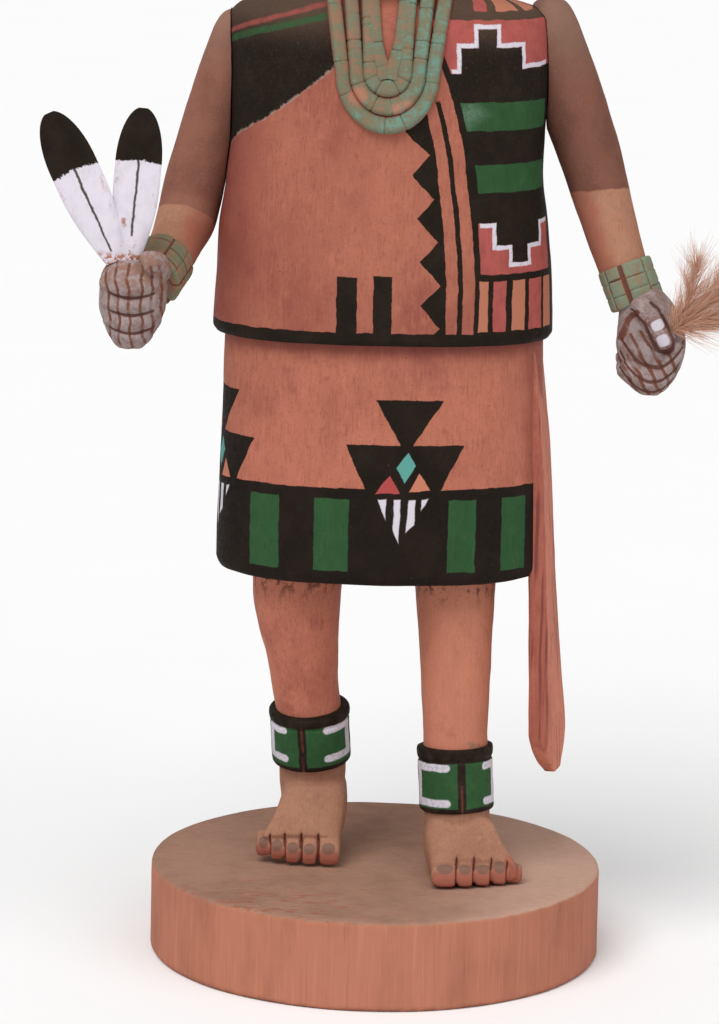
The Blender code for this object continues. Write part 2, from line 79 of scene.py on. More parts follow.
MM = 0.001
BODY = "root"
UP = Vector((0, 0, 1))
FIGURE_X = -1.3
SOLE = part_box("figure")[0].z
BASE_LOW, BASE_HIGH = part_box("base")

# Body rows: height, half width, half depth, sideways middle
TUNIC_POWER = 2.5
TUNIC = (
    (131.7, 40.0, 25.4, 0.2),
    (132.9, 40.7, 26.1, 0.2),
    (146.0, 40.1, 26.0, 0.2),
    (157.0, 39.4, 25.6, -0.1),
    (169.0, 37.8, 25.2, -0.1),
    (178.0, 37.4, 25.0, 0.4),
    (194.0, 37.8, 24.0, 0.5),
    (202.5, 38.0, 22.2, 0.2),
    (207.2, 37.6, 20.2, 0.1),
    (209.4, 35.5, 18.4, 0.1),
    (211.4, 29.0, 16.6, 0.1),
    (214.2, 20.0, 14.8, 0.1),
    (219.0, 14.5, 13.5, 0.1),
)
KILT_POWER = 2.4
KILT = (
    (73.3, 36.3, 21.8, 0.6),
    (74.1, 38.7, 23.2, 0.6),
    (76.3, 39.6, 24.0, 0.6),
    (95.0, 39.2, 23.8, 0.6),
    (112.0, 38.6, 23.6, 0.6),
    (124.0, 38.4, 23.4, 0.6),
    (134.0, 38.2, 23.2, 0.6),
)

# Limb rows: sideways, forward, height, half width, half depth
RIGHT_LEG = (
    (-14.7, 7.0, 13.5, 7.6, 7.2),
    (-14.7, 6.2, 21.0, 8.2, 7.8),
    (-15.0, 5.2, 28.0, 8.1, 8.0),
    (-15.8, 4.2, 36.0, 8.0, 8.1),
    (-17.0, 2.8, 44.0, 8.2, 8.5),
    (-17.8, 1.2, 53.0, 8.9, 9.3),
    (-18.7, 0.2, 60.0, 10.0, 10.2),
    (-19.2, 0.0, 68.0, 10.8, 10.8),
    (-19.2, 0.0, 80.0, 11.0, 11.0),
)
LEFT_LEG = (
    (20.9, -7.2, 13.0, 8.0, 8.0),
    (20.5, -6.6, 24.0, 7.7, 7.9),
    (20.1, -6.0, 33.0, 7.8, 8.1),
    (19.8, -4.8, 46.0, 8.4, 9.0),
    (19.5, -3.8, 58.0, 9.0, 9.8),
    (19.1, -3.0, 71.0, 9.8, 10.3),
    (19.0, -3.0, 80.0, 10.0, 10.4),
)
RIGHT_ARM = (
    (-34.0, 0.5, 207.6, 2.2, 3.5),
    (-34.3, 0.6, 206.2, 4.2, 6.8),
    (-34.8, 0.8, 202.6, 5.8, 8.2),
    (-36.6, 1.0, 196.0, 6.6, 8.5),
    (-38.9, 1.2, 188.0, 7.0, 8.5),
    (-42.8, 1.8, 175.0, 7.2, 8.1),
    (-46.1, 1.6, 163.5, 7.1, 7.7),
    (-47.5, -1.5, 157.2, 7.0, 7.3),
    (-49.0, -7.0, 153.7, 6.4, 6.4),
    (-51.0, -15.0, 149.9, 6.0, 6.0),
    (-53.6, -23.0, 146.4, 5.6, 5.8),
)
LEFT_ARM = (
    (36.2, 0.5, 211.6, 2.0, 3.5),
    (37.2, 0.6, 209.2, 5.4, 6.8),
    (38.3, 0.7, 204.0, 7.2, 8.2),
    (43.0, 1.0, 190.0, 7.9, 8.6),
    (48.6, 1.0, 175.0, 7.4, 8.0),
    (52.7, -0.6, 162.0, 6.7, 7.0),
    (56.7, -3.0, 150.0, 6.0, 6.2),
    (60.0, -5.0, 141.5, 5.6, 5.6),
)
RIGHT_PALM = (
    (-58.7, -31.5, 130.7, 2.4, 2.6),
    (-58.7, -31.3, 132.2, 4.2, 4.6),
    (-58.6, -31.0, 136.2, 6.3, 6.2),
    (-58.4, -30.6, 141.0, 7.9, 6.9),
    (-58.2, -30.2, 146.0, 8.0, 7.0),
    (-57.8, -29.6, 149.0, 7.0, 6.4),
    (-57.4, -29.2, 150.8, 4.6, 4.4),
)
LEFT_PALM = (
    (63.8, -8.2, 118.8, 2.4, 2.8),
    (63.9, -8.2, 120.3, 4.4, 4.8),
    (64.1, -8.0, 125.0, 7.2, 6.6),
    (64.3, -7.6, 131.0, 8.4, 7.2),
    (63.5, -7.0, 136.0, 7.6, 7.0),
    (61.8, -6.2, 140.6, 5.9, 6.0),
    (60.8, -5.6, 142.6, 4.6, 4.6),
)
# Wrist bands: the ends of the stretch each covers, half width, half depth
RIGHT_WRIST = ((-51.0, -14.9, 149.9), (-54.1, -23.6, 145.8), 6.6, 7.1)
LEFT_WRIST = ((57.3, -3.6, 149.4), (61.0, -5.4, 139.8), 6.5, 6.7)

# How far away a cut line is said to be where there is none
FAR = 9.0

# Hands: how far past the wrist the cuts begin, then where they run
HAND_START = 3.0
RIGHT_KNUCKLES = -58.3
# The right hand's fingers: height, reach to each side, radius
RIGHT_FINGERS = ((146.2, 6.0, 3.0), (141.4, 6.2, 2.7), (137.5, 5.2, 2.6), (134.2, 3.3, 2.3))
RIGHT_GROOVES = (143.7, 139.6, 135.4)
RIGHT_SCRATCHES = (-5.4, -3.1, -0.4, 2.6, 4.9, 7.0)
LEFT_GROOVES = (126.4, 123.0, 119.8)
LEFT_SCRATCHES = (56.5, 59.2, 62.2, 65.4, 68.8)
# Paths on the left hand's front: sideways and height. Its thumb's white patches end with their half sizes
LEFT_THUMB = ((60.6, 141.6), (64.0, 138.4), (66.8, 132.6))
LEFT_STROKE = ((60.3, 139.6), (58.3, 137.0), (56.9, 132.5))
THUMB_HALF = 2.5
THUMB_WHITES = ((66.5, 133.4, 1.4, 1.45), (65.1, 137.0, 1.5, 1.2))
# Wrist bands: the shares of its height where rounds are cut, how many columns, the boldest column's
# place, the seed, the fresh paint and the worn paint
WRIST_PAINT = (
    ("right_wrist_band", "right_arm", RIGHT_WRIST, (0.2, 0.4, 0.6, 0.8), 9, 0.2, 17,
     (0.172, 0.186, 0.115), (0.285, 0.168, 0.104)),
    ("left_wrist_band", "left_arm", LEFT_WRIST, (0.34, 0.67), 8, -0.7, 18,
     (0.200, 0.248, 0.176), (0.235, 0.205, 0.128)),
)
WRIST_PROFILE = ((0.0, -1.6), (0.02, -0.35), (0.07, 0.0), (0.93, 0.0), (0.98, -0.35), (1.0, -1.6))

# Ankle bands: the ends of the stretch each covers and its radius
RIGHT_ANKLE = ((-14.9, 5.9, 23.4), (-15.8, 3.6, 37.4), 9.7)
LEFT_ANKLE = ((20.8, -7.0, 14.9), (20.0, -5.9, 31.0), 9.1)

# Each band's slit, its brackets' ends left and right, how high the slit is bare and how deep it is cut,
# the brackets' arms and the rim's size
ANKLE_PAINT = (
    ("right_ankle_band", RIGHT_ANKLE, -1.9, (-13.4, -5.8), (3.5, 13.2), 12.0, 0.35, (10.9, 3.5), 0.5),
    ("left_ankle_band", LEFT_ANKLE, 1.4, (-13.0, -1.4), (7.2, 13.6), 7.4, 0.25, (11.6, 2.9), 0.3),
)
# Share of the band's height, how far out from its radius, and the part of that which grows with the rim
ANKLE_PROFILE = (
    (0.0, -1.6, 0.0), (0.012, -0.5, 0.0), (0.05, -0.08, 0.0), (0.1, 0.0, 0.0), (0.76, 0.0, 0.0),
    (0.795, -0.28, 0.0), (0.82, -0.1, 0.0), (0.86, 0.0, 0.32), (0.92, 0.0, 0.5), (0.97, 0.0, 0.32),
    (0.992, -0.2, 0.0), (1.0, -1.4, 0.0),
)

# Foot rows: forward, half width, sideways shift, top height; toes: sideways, half width, tip, height
FOOT_POWER = 3.2
FOOT = (
    (8.6, 5.6, 0.0, 7.0),
    (7.4, 7.4, 0.0, 11.0),
    (2.0, 8.3, 0.0, 15.0),
    (-5.0, 8.6, 0.5, 15.0),
    (-8.6, 9.1, 1.6, 11.5),
    (-11.8, 9.9, 3.0, 8.2),
    (-13.4, 10.2, 3.6, 6.4),
)
TOES = (
    (-3.9, 2.65, -17.9, 5.2),
    (1.0, 2.15, -17.8, 4.9),
    (5.3, 2.1, -17.2, 4.7),
    (9.4, 2.0, -16.1, 4.5),
    (12.9, 1.8, -14.7, 4.3),
)
TOE_ROOT = -9.0
TOE_TIP = 17.4
NAIL_BACK = 1.1
NAIL_LENGTH = 1.75
HEEL_LIFT = 22.0
# Each foot: side, leg, sideways, the toes' reach, the heel's lift, and its toes' spread, slant and growth
STANDS = (
    (-1, RIGHT_LEG, -13.9, -8.4, HEEL_LIFT, (0.95, 0.0, 0.0)),
    (1, LEFT_LEG, 21.5, -25.2, 0.0, (1.03, 2.6, 0.6)),
)

# Head rows, as the body's; the fall of hair ends each row with how far back it sits
HEAD_POWER = 2.15
HEAD_MIDDLE = 0.2
EYE_HEIGHT, EYE_APART, EYE_HALF = 237.5, 8.2, 3.6
MOUTH_HEIGHT, MOUTH_HALF = 224.6, 3.4
MASK = (
    (212.4, 14.0, 13.5, 0.2),
    (215.6, 19.4, 18.6, 0.2),
    (216.6, 20.4, 19.8, 0.2),
    (224.0, 21.3, 20.9, 0.2),
    (238.0, 21.7, 21.3, 0.2),
    (249.0, 20.8, 20.3, 0.2),
    (256.0, 17.6, 17.1, 0.2),
    (261.0, 12.4, 12.0, 0.2),
    (263.6, 6.0, 5.8, 0.2),
)
HAIR_CAP = (
    (244.5, 21.4, 21.0, 0.2),
    (244.9, 22.6, 22.2, 0.2),
    (250.0, 22.2, 21.8, 0.2),
    (256.6, 19.6, 19.2, 0.2),
    (262.0, 14.6, 14.2, 0.2),
    (265.0, 8.4, 8.2, 0.2),
    (266.0, 2.0, 2.0, 0.2),
)
HAIR_POWER = 2.5
HAIR_FALL = (
    (187.0, 12.6, 3.0, 0.2, 22.6),
    (188.2, 14.8, 4.4, 0.2, 22.3),
    (200.0, 18.0, 6.2, 0.2, 20.4),
    (208.0, 20.4, 9.6, 0.2, 16.2),
    (212.5, 22.4, 13.6, 0.2, 11.0),
    (226.0, 24.0, 16.0, 0.2, 8.4),
    (246.0, 23.8, 16.4, 0.2, 6.8),
    (255.0, 19.8, 14.0, 0.2, 5.6),
)

# Necklace: strands side by side, straight above the bend, half an ellipse below it
STRANDS = 3
STRAND_RADIUS = 1.75
STRAND_PITCH = 3.35
STRAND_DROP = 4.3
NECKLACE_HALF_WIDTH = 10.7
NECKLACE_FLARE = 2.6
NECKLACE_TOP = 214.0
NECKLACE_BEND = 196.5
NECKLACE_FOOT = 183.8

# Sash: share of its length, outer face's place, turn in degrees
SASH_LENGTH = 107.0
SASH_TOP = 130.9
SASH_WIDTH = (19.0, 25.0)
SASH_THICKNESS = (3.8, 5.5)
SASH_ROWS = (
    (0.0, 37.5, 6.3),
    (0.27, 40.6, 7.0),
    (0.56, 42.6, 8.0),
    (0.80, 44.3, 11.0),
    (0.94, 45.3, 13.0),
    (1.0, 45.5, 13.0),
)

# Feathers
FEATHER_LENGTH = 38.0
FEATHER_HALF_WIDTH = 5.7
FEATHER_THICKNESS = 2.0
FEATHER_ROOT = (-60.6, -32.0, 151.6)
ROOT_MARKS = 9.0
# The stem: height about the root, half width
FEATHER_STEM = ((-5.0, 2.3), (0.7, 3.2), (3.7, 3.6))
# Each blade: how far its root is sideways and forward, its lean in degrees, its size
BLADES = (((-1.6, -0.4), -25.0, 1.0), ((1.5, 0.2), 4.5, 0.95))

# Tuft of down
DOWN_ROOT = (70.0, -12.0, 135.6)
DOWN_DIRECTION = Vector((0.86, -0.1, 0.46)).normalized()
DOWN_LENGTH = 27.0
DOWN_SHIFT = (-1.6, -2.2, -0.6)
BARBS_IN_LOCK = 10
# Each small plume's turn up from the tuft's direction, its lean forward or back, its share of the length
PLUMES = (
    (-0.32, 0.10, 0.98),
    (-0.20, -0.22, 1.04),
    (-0.06, 0.24, 1.08),
    (0.08, -0.10, 1.10),
    (0.20, 0.16, 1.04),
    (0.32, -0.18, 0.92),
    (0.66, 0.05, 0.62),
)

# Camera: how far in front of the base's middle, how high, and its turns in degrees
CAMERA_DISTANCE = 1.1
CAMERA_HEIGHT = 0.3324
CAMERA_PAN = -0.30
CAMERA_PITCH = 11.48
CAMERA_ROLL = 1.25
FOCAL_PIXELS = 4632.0
FRAME_PIXELS = 1024.0
SENSOR = 36.0

# How much rougher and how much smoother than its usual a surface gets where it is dusty or rubbed
MATTER = 0.07
SHINIER = 0.09

# Light: the sky's strength, then each lamp's place, width in degrees and strength
SKY_STRENGTH = 0.42
LIGHTS = (
    ("key_light", (-0.40, -0.78, 1.20), 40.0, 1.95),
    ("fill_light", (0.90, -0.80, 1.10), 50.0, 0.60),
)


class DollColours(bpy.types.PropertyGroup):
    """The paints and woods of the doll."""

    wood: FloatVectorProperty(name="Body wood", description="Stained wood of body and legs",
                              subtype="COLOR", default=(0.44, 0.150, 0.096))
    # Dark wood is also laid on as painted shade: the tunic's sides and lower front, the kilt's left corner
    # and under the tunic's hem, and the sash's front edge.
    wood_dark: FloatVectorProperty(name="Dark wood", description="The same wood where it is worn and dark",
                                   subtype="COLOR", default=(0.215, 0.052, 0.042))
    black: FloatVectorProperty(name="Black", description="Black earth paint", subtype="COLOR",
                               default=(0.0125, 0.0078, 0.0048))
    # Dust is laid on the black at the shoulders' tops both as dust and as painted light from above.
    dust: FloatVectorProperty(name="Dust", description="Dust on the dark paint", subtype="COLOR",
                              default=(0.16, 0.095, 0.065))
    green: FloatVectorProperty(name="Green", description="Green paint", subtype="COLOR",
                               default=(0.025, 0.076, 0.027))
    red: FloatVectorProperty(name="Red", description="Red paint", subtype="COLOR",
                             default=(0.405, 0.093, 0.080))
    orange: FloatVectorProperty(name="Orange", description="Orange tan paint", subtype="COLOR",
                                default=(0.52, 0.19, 0.115))
    white: FloatVectorProperty(name="White", description="White paint", subtype="COLOR",
                               default=(0.64, 0.59, 0.655))
    turquoise: FloatVectorProperty(name="Turquoise", description="Turquoise paint", subtype="COLOR",
                                   default=(0.13, 0.28, 0.22))
    skin: FloatVectorProperty(name="Skin", description="Brown paint of the arms", subtype="COLOR",
                              default=(0.225, 0.094, 0.064))
    hands: FloatVectorProperty(name="Hands", description="Grey paint of the hands", subtype="COLOR",
                               default=(0.33, 0.262, 0.256))
    base_top: FloatVectorProperty(name="Base top", description="Dusty top of the base", subtype="COLOR",
                                  default=(0.35, 0.195, 0.135))
    base_side: FloatVectorProperty(name="Base side", description="Cut side of the base", subtype="COLOR",
                                   default=(0.46, 0.178, 0.112))
    down: FloatVectorProperty(name="Down", description="Brown down", subtype="COLOR",
                              default=(0.66, 0.38, 0.262))


class DollShape(bpy.types.PropertyGroup):
    """How fine the carving is and how roughly it was done."""

    body_step: FloatProperty(name="Body step", description="Length of a face on the body", unit="LENGTH",
                             default=0.85 * MM, precision=5)
    hand_step: FloatProperty(name="Hand step", description="Length of a face on the fists", unit="LENGTH",
                             default=0.34 * MM, precision=5)
    foot_step: FloatProperty(name="Foot step", description="Length of a face on the feet", unit="LENGTH",
                             default=0.3 * MM, precision=5)
    knife: FloatProperty(name="Knife", description="How far the knife left the surface uneven",
                         unit="LENGTH", default=0.16 * MM, precision=5)
    barbs: IntProperty(name="Barbs", description="Number of barbs in the tuft of down", default=3700)
    barb_radius: FloatProperty(name="Barb radius", description="Radius of a barb at its root",
                               unit="LENGTH", default=0.068 * MM, precision=5)


def world(x, y, z):
    """A point of the figure, in metres in the doll's frame."""
    return Vector(((x + FIGURE_X) * MM, y * MM, z * MM + SOLE))


def on_figure(co):
    """A point of the doll, back in figure millimetres."""
    return Vector((co.x / MM - FIGURE_X, co.y / MM, (co.z - SOLE) / MM))


def clipped(value):
    """A value kept between 0 and 1."""
    return min(1.0, max(0.0, value))


def spots(points):
    """An array of points of the figure, in metres in the doll's frame."""
    return np.asarray(points, float) * MM + np.array((FIGURE_X * MM, 0.0, SOLE))


def eased(stations, values, wanted):
    """Values read between stations on a smooth curve that never overshoots them."""
    stations = np.asarray(stations, float)
    values = np.asarray(values, float)
    steps = np.diff(stations)
    slopes = np.diff(values) / steps
    bends = np.concatenate((slopes[:1], np.zeros(len(slopes) - 1), slopes[-1:]))
    before, after = slopes[:-1], slopes[1:]
    same = before * after > 0
    bends[1:-1][same] = 2 * before[same] * after[same] / (before[same] + after[same])
    index = np.clip(np.searchsorted(stations, wanted, side="right") - 1, 0, len(slopes) - 1)
    share = (wanted - stations[index]) / steps[index]
    rise = share * share * (3 - 2 * share)
    lean = share * (1 - share) * ((1 - share) * bends[index] - share * bends[index + 1]) * steps[index]
    return values[index] + rise * (values[index + 1] - values[index]) + lean


def eased_rows(rows, stations, wanted):
    """Every column of a table read at the wanted places."""
    table = np.asarray(rows, float)
    return np.stack([eased(stations, column, wanted) for column in table.T], axis=1)


def rounded(turn, power):
    """Sideways and forward shares of a rounded square. The turn is counted from the middle of the front."""
    return [np.sign(way) * np.abs(way) ** (2 / power) for way in (np.sin(turn), np.cos(turn))]


def round_outline(half_x, half_y, power, around):
    """One rounded-square outline with its points at even distances, and how far round each is.

    It starts and ends at the middle of the back. Distance is counted from the middle of the front."""
    turn = np.linspace(-math.pi, math.pi, 1441)
    side, front = rounded(turn, power)
    x, y = half_x * side, -half_y * front
    run = np.concatenate(([0.0], np.cumsum(np.hypot(np.diff(x), np.diff(y)))))
    wanted = np.linspace(0.0, run[-1], around + 1)
    return np.interp(wanted, run, x), np.interp(wanted, run, y), wanted - run[-1] / 2


def stacked_net(rows, power, around, step):
    """A net of points over a form given by level outlines, and each point's marks."""
    table = np.asarray(rows, float)
    heights = table[:, 0]
    count = max(2, round((heights[-1] - heights[0]) / step))
    wanted = np.unique(np.concatenate((np.linspace(heights[0], heights[-1], count + 1), heights)))
    dense = eased_rows(table, heights, wanted)
    dense[:, 0] = wanted
    net = np.zeros((len(wanted), around + 1, 3))
    marks = np.zeros((len(wanted), around + 1, 2))
    for i, row in enumerate(dense):
        x, y, across = round_outline(row[1], row[2], power, around)
        back = row[4] if len(row) > 4 else 0.0
        net[i] = np.stack((x + row[3], y + back, np.full(around + 1, row[0])), axis=1)
        marks[i] = np.stack((across, np.full(around + 1, row[0])), axis=1)
    return net, marks


def carried_frames(centres):
    """Side and front directions square to a path, carried along it without twisting."""
    path = [Vector(point) for point in centres]
    ways = [(path[min(i + 1, len(path) - 1)] - path[max(i - 1, 0)]).normalized() for i in range(len(path))]
    turn = UP.rotation_difference(ways[0])
    frames = []
    for i, way in enumerate(ways):
        if i:
            turn = ways[i - 1].rotation_difference(way) @ turn
        frames.append((np.array(turn @ Vector((1, 0, 0))), np.array(turn @ Vector((0, 1, 0)))))
    return frames


def limb_net(rows, around, step, power=2.0, swell=None):
    """A net of points round a limb: rows of sideways, forward, height, half width, half depth.

    swell takes the way round in radians and the way along in millimetres and returns how far out to go."""
    table = np.asarray(rows, float)
    run = np.concatenate(([0.0], np.cumsum(np.linalg.norm(np.diff(table[:, :3], axis=0), axis=1))))
    count = max(2, round(run[-1] / step))
    wanted = np.linspace(0.0, run[-1], count + 1)
    dense = eased_rows(table, run, wanted)
    turn = np.linspace(-math.pi, math.pi, around + 1)
    side, front = rounded(turn, power)
    net = np.zeros((len(dense), around + 1, 3))
    marks = np.zeros((len(dense), around + 1, 2))
    for i, (row, (x_way, y_way)) in enumerate(zip(dense, carried_frames(dense[:, :3]))):
        out = swell(turn, wanted[i]) if swell else 0.0
        across = (side * (row[3] + out))[:, None] * x_way
        along = (front * (row[4] + out))[:, None] * y_way
        net[i] = row[:3] + across - along
        marks[i] = np.stack((turn * (row[3] + row[4]) / 2, np.full(around + 1, wanted[i])), axis=1)
    net[:, -1] = net[:, 0]
    return net, marks


def wrapped(points, marks=None, layers=None):
    """A closed skin: a flat grid rolled round until its sides meet, its two ends filled.

    marks become the map that paint follows, and layers are named values carried by each point."""
    along, around = points.shape[0] - 1, points.shape[1] - 1
    bm = bmesh.new()
    bmesh.ops.create_grid(bm, x_segments=around, y_segments=along, size=1.0)
    bm.verts.index_update()
    cells = [(round((v.co.y + 1) / 2 * along), round((v.co.x + 1) / 2 * around)) for v in bm.verts]
    held = {name: (bm.verts.layers.float.new(name), values) for name, values in (layers or {}).items()}
    for vert, cell in zip(bm.verts, cells):
        vert.co = points[cell]
        for layer, values in held.values():
            vert[layer] = values[cell]
    if marks is not None:
        paint = bm.loops.layers.uv.new("paint")
        for face in bm.faces:
            for loop in face.loops:
                loop[paint].uv = marks[cells[loop.vert.index]] * MM
    seam = [vert for vert, cell in zip(bm.verts, cells) if cell[1] in (0, around)]
    bmesh.ops.remove_doubles(bm, verts=seam, dist=1e-7)
    rims = [edge for edge in bm.edges if edge.is_boundary]
    caps = bmesh.ops.holes_fill(bm, edges=rims, sides=0)["faces"]
    if marks is not None:
        for cap in caps:
            for loop in cap.loops:
                other = next(near for near in loop.vert.link_loops if near.face is not cap)
                loop[paint].uv = other[paint].uv
    bmesh.ops.recalc_face_normals(bm, faces=bm.faces)
    return bm


def uneven(bm, amount, size, seed):
    """Leaves the surface as uneven as a knife and sandpaper do."""
    bm.normal_update()
    start = Vector((seed * 7.3, seed * 3.1, seed * 5.7))
    for vert in bm.verts:
        spot = vert.co / size + start
        push = noise.noise(spot) + 0.35 * noise.noise(spot * 3.1)
        vert.co += vert.normal * (amount * push)


def as_mesh(bm, name):
    """Makes a mesh of a skin and lets the skin go."""
    mesh = bpy.data.meshes.new(name)
    bm.to_mesh(mesh)
    bm.free()
    return mesh


def joined_bm(parts):
    """Several skins in one, each still closed by itself."""
    whole = bmesh.new()
    for bm in parts:
        mesh = as_mesh(bm, "part")
        whole.from_mesh(mesh)
        bpy.data.meshes.remove(mesh)
    return whole


def melted(parts, voxel, passes):
    """Melts overlapping skins into one, as if they were carved from one block, and rubs it smooth."""
    mesh = as_mesh(joined_bm(parts), "block")
    block = bpy.data.objects.new("block", mesh)
    bpy.context.scene.collection.objects.link(block)
    modifier = block.modifiers.new("Melt", "REMESH")
    modifier.mode = "VOXEL"
    modifier.voxel_size = voxel
    graph = bpy.context.evaluated_depsgraph_get()
    bm = bmesh.new()
    bm.from_object(block, graph)
    bpy.data.objects.remove(block)
    bpy.data.meshes.remove(mesh)
    for _ in range(passes):
        axes = {"use_axis_x": True, "use_axis_y": True, "use_axis_z": True}
        bmesh.ops.smooth_vert(bm, verts=bm.verts, factor=0.5, **axes)
    bmesh.ops.recalc_face_normals(bm, faces=bm.faces)
    return bm


def engraved(bm, name, reach, depth, distance):
    """Cuts lines into a skin. distance gives how far a point is from the nearest line, in millimetres.

    The cut is kept on the points under its name, for the paint to miss."""
    layer = bm.verts.layers.float.get(name) or bm.verts.layers.float.new(name)
    bm.normal_update()
    for vert in bm.verts:
        near = math.exp(-((distance(vert.co) / reach) ** 2))
        vert.co -= vert.normal * (depth * near * MM)
        vert[layer] = max(vert[layer], near)


def shown(name, bm, material, nodes, sharp=60.0):
    """Puts a finished piece in the doll, standing for its CAD nodes."""
    mesh = as_mesh(bm, name)
    mesh.shade_smooth()
    mesh.set_sharp_from_angle(angle=math.radians(sharp))
    piece = bpy.data.objects.new(name, mesh)
    mesh.materials.append(material)
    bpy.context.scene.collection.objects.link(piece)
    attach(piece, BODY)
    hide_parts(*nodes)
    if not mesh.polygons:
        raise RuntimeError(f"{name} came out empty")
    return piece


class Number:
    """A value that varies over a surface. Sums on it add Math nodes to its finish."""

    def __init__(self, finish, socket):
        self.finish = finish
        self.socket = socket

    def __add__(self, other):
        return self.finish.sum("ADD", self, other)

    def __sub__(self, other):
        return self.finish.sum("SUBTRACT", self, other)

    def __rsub__(self, other):
        return self.finish.sum("SUBTRACT", other, self)

    def __mul__(self, other):
        return self.finish.sum("MULTIPLY", self, other)

    def __truediv__(self, other):
        return self.finish.sum("DIVIDE", self, other)

    def __rtruediv__(self, other):
        return self.finish.sum("DIVIDE", other, self)

    def __neg__(self):
        return self.finish.sum("MULTIPLY", self, -1.0)

    def __abs__(self):
        return self.finish.sum("ABSOLUTE", self)

    __radd__ = __add__
    __rmul__ = __mul__


class Finish:
    """A paint or a wood being mixed for one piece."""

    def __init__(self, name, marked=False):
        self.material = bpy.data.materials.new(name)
        self.material.use_nodes = True
        self.tree = self.material.node_tree
        self.shader = self.tree.nodes["Principled BSDF"]
        self.colour = None
        here = self.node("ShaderNodeTexCoord").outputs["Object"]
        scale = {"Vector": here, "Scale": (1 / MM, 1 / MM, 1 / MM)}
        self.place = self.node("ShaderNodeMapping", inputs=scale).outputs["Vector"]
        if marked:
            skin = self.node("ShaderNodeUVMap", {"uv_map": "paint"}).outputs["UV"]
            split = self.node("ShaderNodeSeparateXYZ", inputs={"Vector": skin})
            self.across = Number(self, split.outputs["X"]) * (1 / MM)
            self.up = Number(self, split.outputs["Y"]) * (1 / MM)

    def node(self, kind, settings=None, inputs=None):
        """Any node: its settings first, then the values or links of its sockets."""
        made = self.tree.nodes.new(kind)
        for key, value in (settings or {}).items():
            setattr(made, key, value)
        for key, value in (inputs or {}).items():
            self.feed(made.inputs[key], value)
        return made

    def feed(self, socket, value):
        """Links a value that varies to a socket, or sets one that doesn't."""
        if isinstance(value, Number):
            value = value.socket
        if isinstance(value, bpy.types.NodeSocket):
            self.tree.links.new(value, socket)
        elif socket.type == "RGBA":
            socket.default_value = (*tuple(value)[:3], 1)
        else:
            socket.default_value = value

    def sum(self, operation, *values, clamp=False):
        """One Math node on values that vary."""
        settings = {"operation": operation, "use_clamp": clamp}
        return Number(self, self.node("ShaderNodeMath", settings, dict(enumerate(values))).outputs[0])

    def least(self, *values):
        """The least of several values: inside any of several shapes."""
        found = values[0]
        for value in values[1:]:
            found = self.sum("MINIMUM", found, value)
        return found

    def most(self, *values):
        """The most of several values: inside all of several shapes."""
        found = values[0]
        for value in values[1:]:
            found = self.sum("MAXIMUM", found, value)
        return found

    def noise(self, size, detail=2.0, rough=0.5, stretch=(1, 1, 1), shift=0.0):
        """Soft noise whose lumps are about this many millimetres across."""
        scale = tuple(1 / (size * way) for way in stretch)
        moved = {"Vector": self.place, "Scale": scale, "Location": (shift, shift, shift)}
        where = self.node("ShaderNodeMapping", inputs=moved).outputs["Vector"]
        inputs = {"Vector": where, "Scale": 1.0, "Detail": detail, "Roughness": rough}
        return Number(self, self.node("ShaderNodeTexNoise", inputs=inputs).outputs[0])

    def ramp(self, value, low, high, lowest=0.0, highest=1.0):
        """Runs from lowest to highest as the value goes from low to high, and stays there."""
        inputs = {"Value": value, "From Min": low, "From Max": high, "To Min": lowest, "To Max": highest}
        settings = {"interpolation_type": "SMOOTHSTEP"}
        return Number(self, self.node("ShaderNodeMapRange", settings, inputs).outputs[0])

    def blots(self, low, high, *grain, **more):
        """Soft-edged blots: noise of this grain, run from 0 at low to 1 at high."""
        return self.ramp(self.noise(*grain, **more), low, high)

    def attribute(self, name):
        """A value that the points carry."""
        settings = {"attribute_name": name}
        return Number(self, self.node("ShaderNodeAttribute", settings).outputs["Fac"])

    def mix(self, under, over, share):
        """Two colours mixed."""
        settings = {"data_type": "RGBA"}
        return self.node("ShaderNodeMix", settings, {0: share, 6: under, 7: over}).outputs[2]

    def coat(self, colour, share):
        """Lays a colour over what is there."""
        self.colour = self.mix(self.colour, colour, share)

    def split(self, vector):
        """The three numbers of a place."""
        parts = self.node("ShaderNodeSeparateXYZ", inputs={"Vector": vector})
        return [Number(self, parts.outputs[axis]) for axis in "XYZ"]

    def edge(self, distance, soft=0.16):
        """1 inside a painted shape, 0 outside it, with an edge as soft as a brush leaves."""
        return self.sum("MULTIPLY_ADD", distance, -1 / soft, 0.5, clamp=True)

    def wobbled(self, amount=0.32, size=3.2):
        """The marks as a hand keeps to them."""
        wide = self.noise(size, 1.0, shift=11.0)
        tall = self.noise(size, 1.0, shift=-7.0)
        fine = (self.noise(0.55, 1.0, shift=3.0) - 0.5) * 0.22
        across = self.across + (wide - 0.5) * (amount * 2) + fine
        up = self.up + (tall - 0.5) * (amount * 2) + fine
        return across, up

    def columns(self, across, places):
        """How far outside the nearest upright stripe a point is. Each has a middle and a half width."""
        return self.least(*(abs(across - middle) - half for middle, half in places))

    def from_spot(self, wide, tall):
        """How far a point is from a spot, from how far it is each way."""
        return self.sum("SQRT", wide * wide + tall * tall)

    def patch(self, across, up, *corners):
        """How far outside a shape with straight sides and no hollows a point is."""
        turn = sum(a[0] * b[1] - b[0] * a[1] for a, b in zip(corners, corners[1:] + corners[:1]))
        found = None
        for first, second in zip(corners, corners[1:] + corners[:1]):
            along = Vector((second[0] - first[0], second[1] - first[1]))
            out = Vector((along.y, -along.x)).normalized() * math.copysign(1, turn)
            side = self.sum("MULTIPLY_ADD", up, out.y, -(out.x * first[0] + out.y * first[1]))
            side = self.sum("MULTIPLY_ADD", across, out.x, side)
            found = side if found is None else self.sum("MAXIMUM", found, side)
        return found

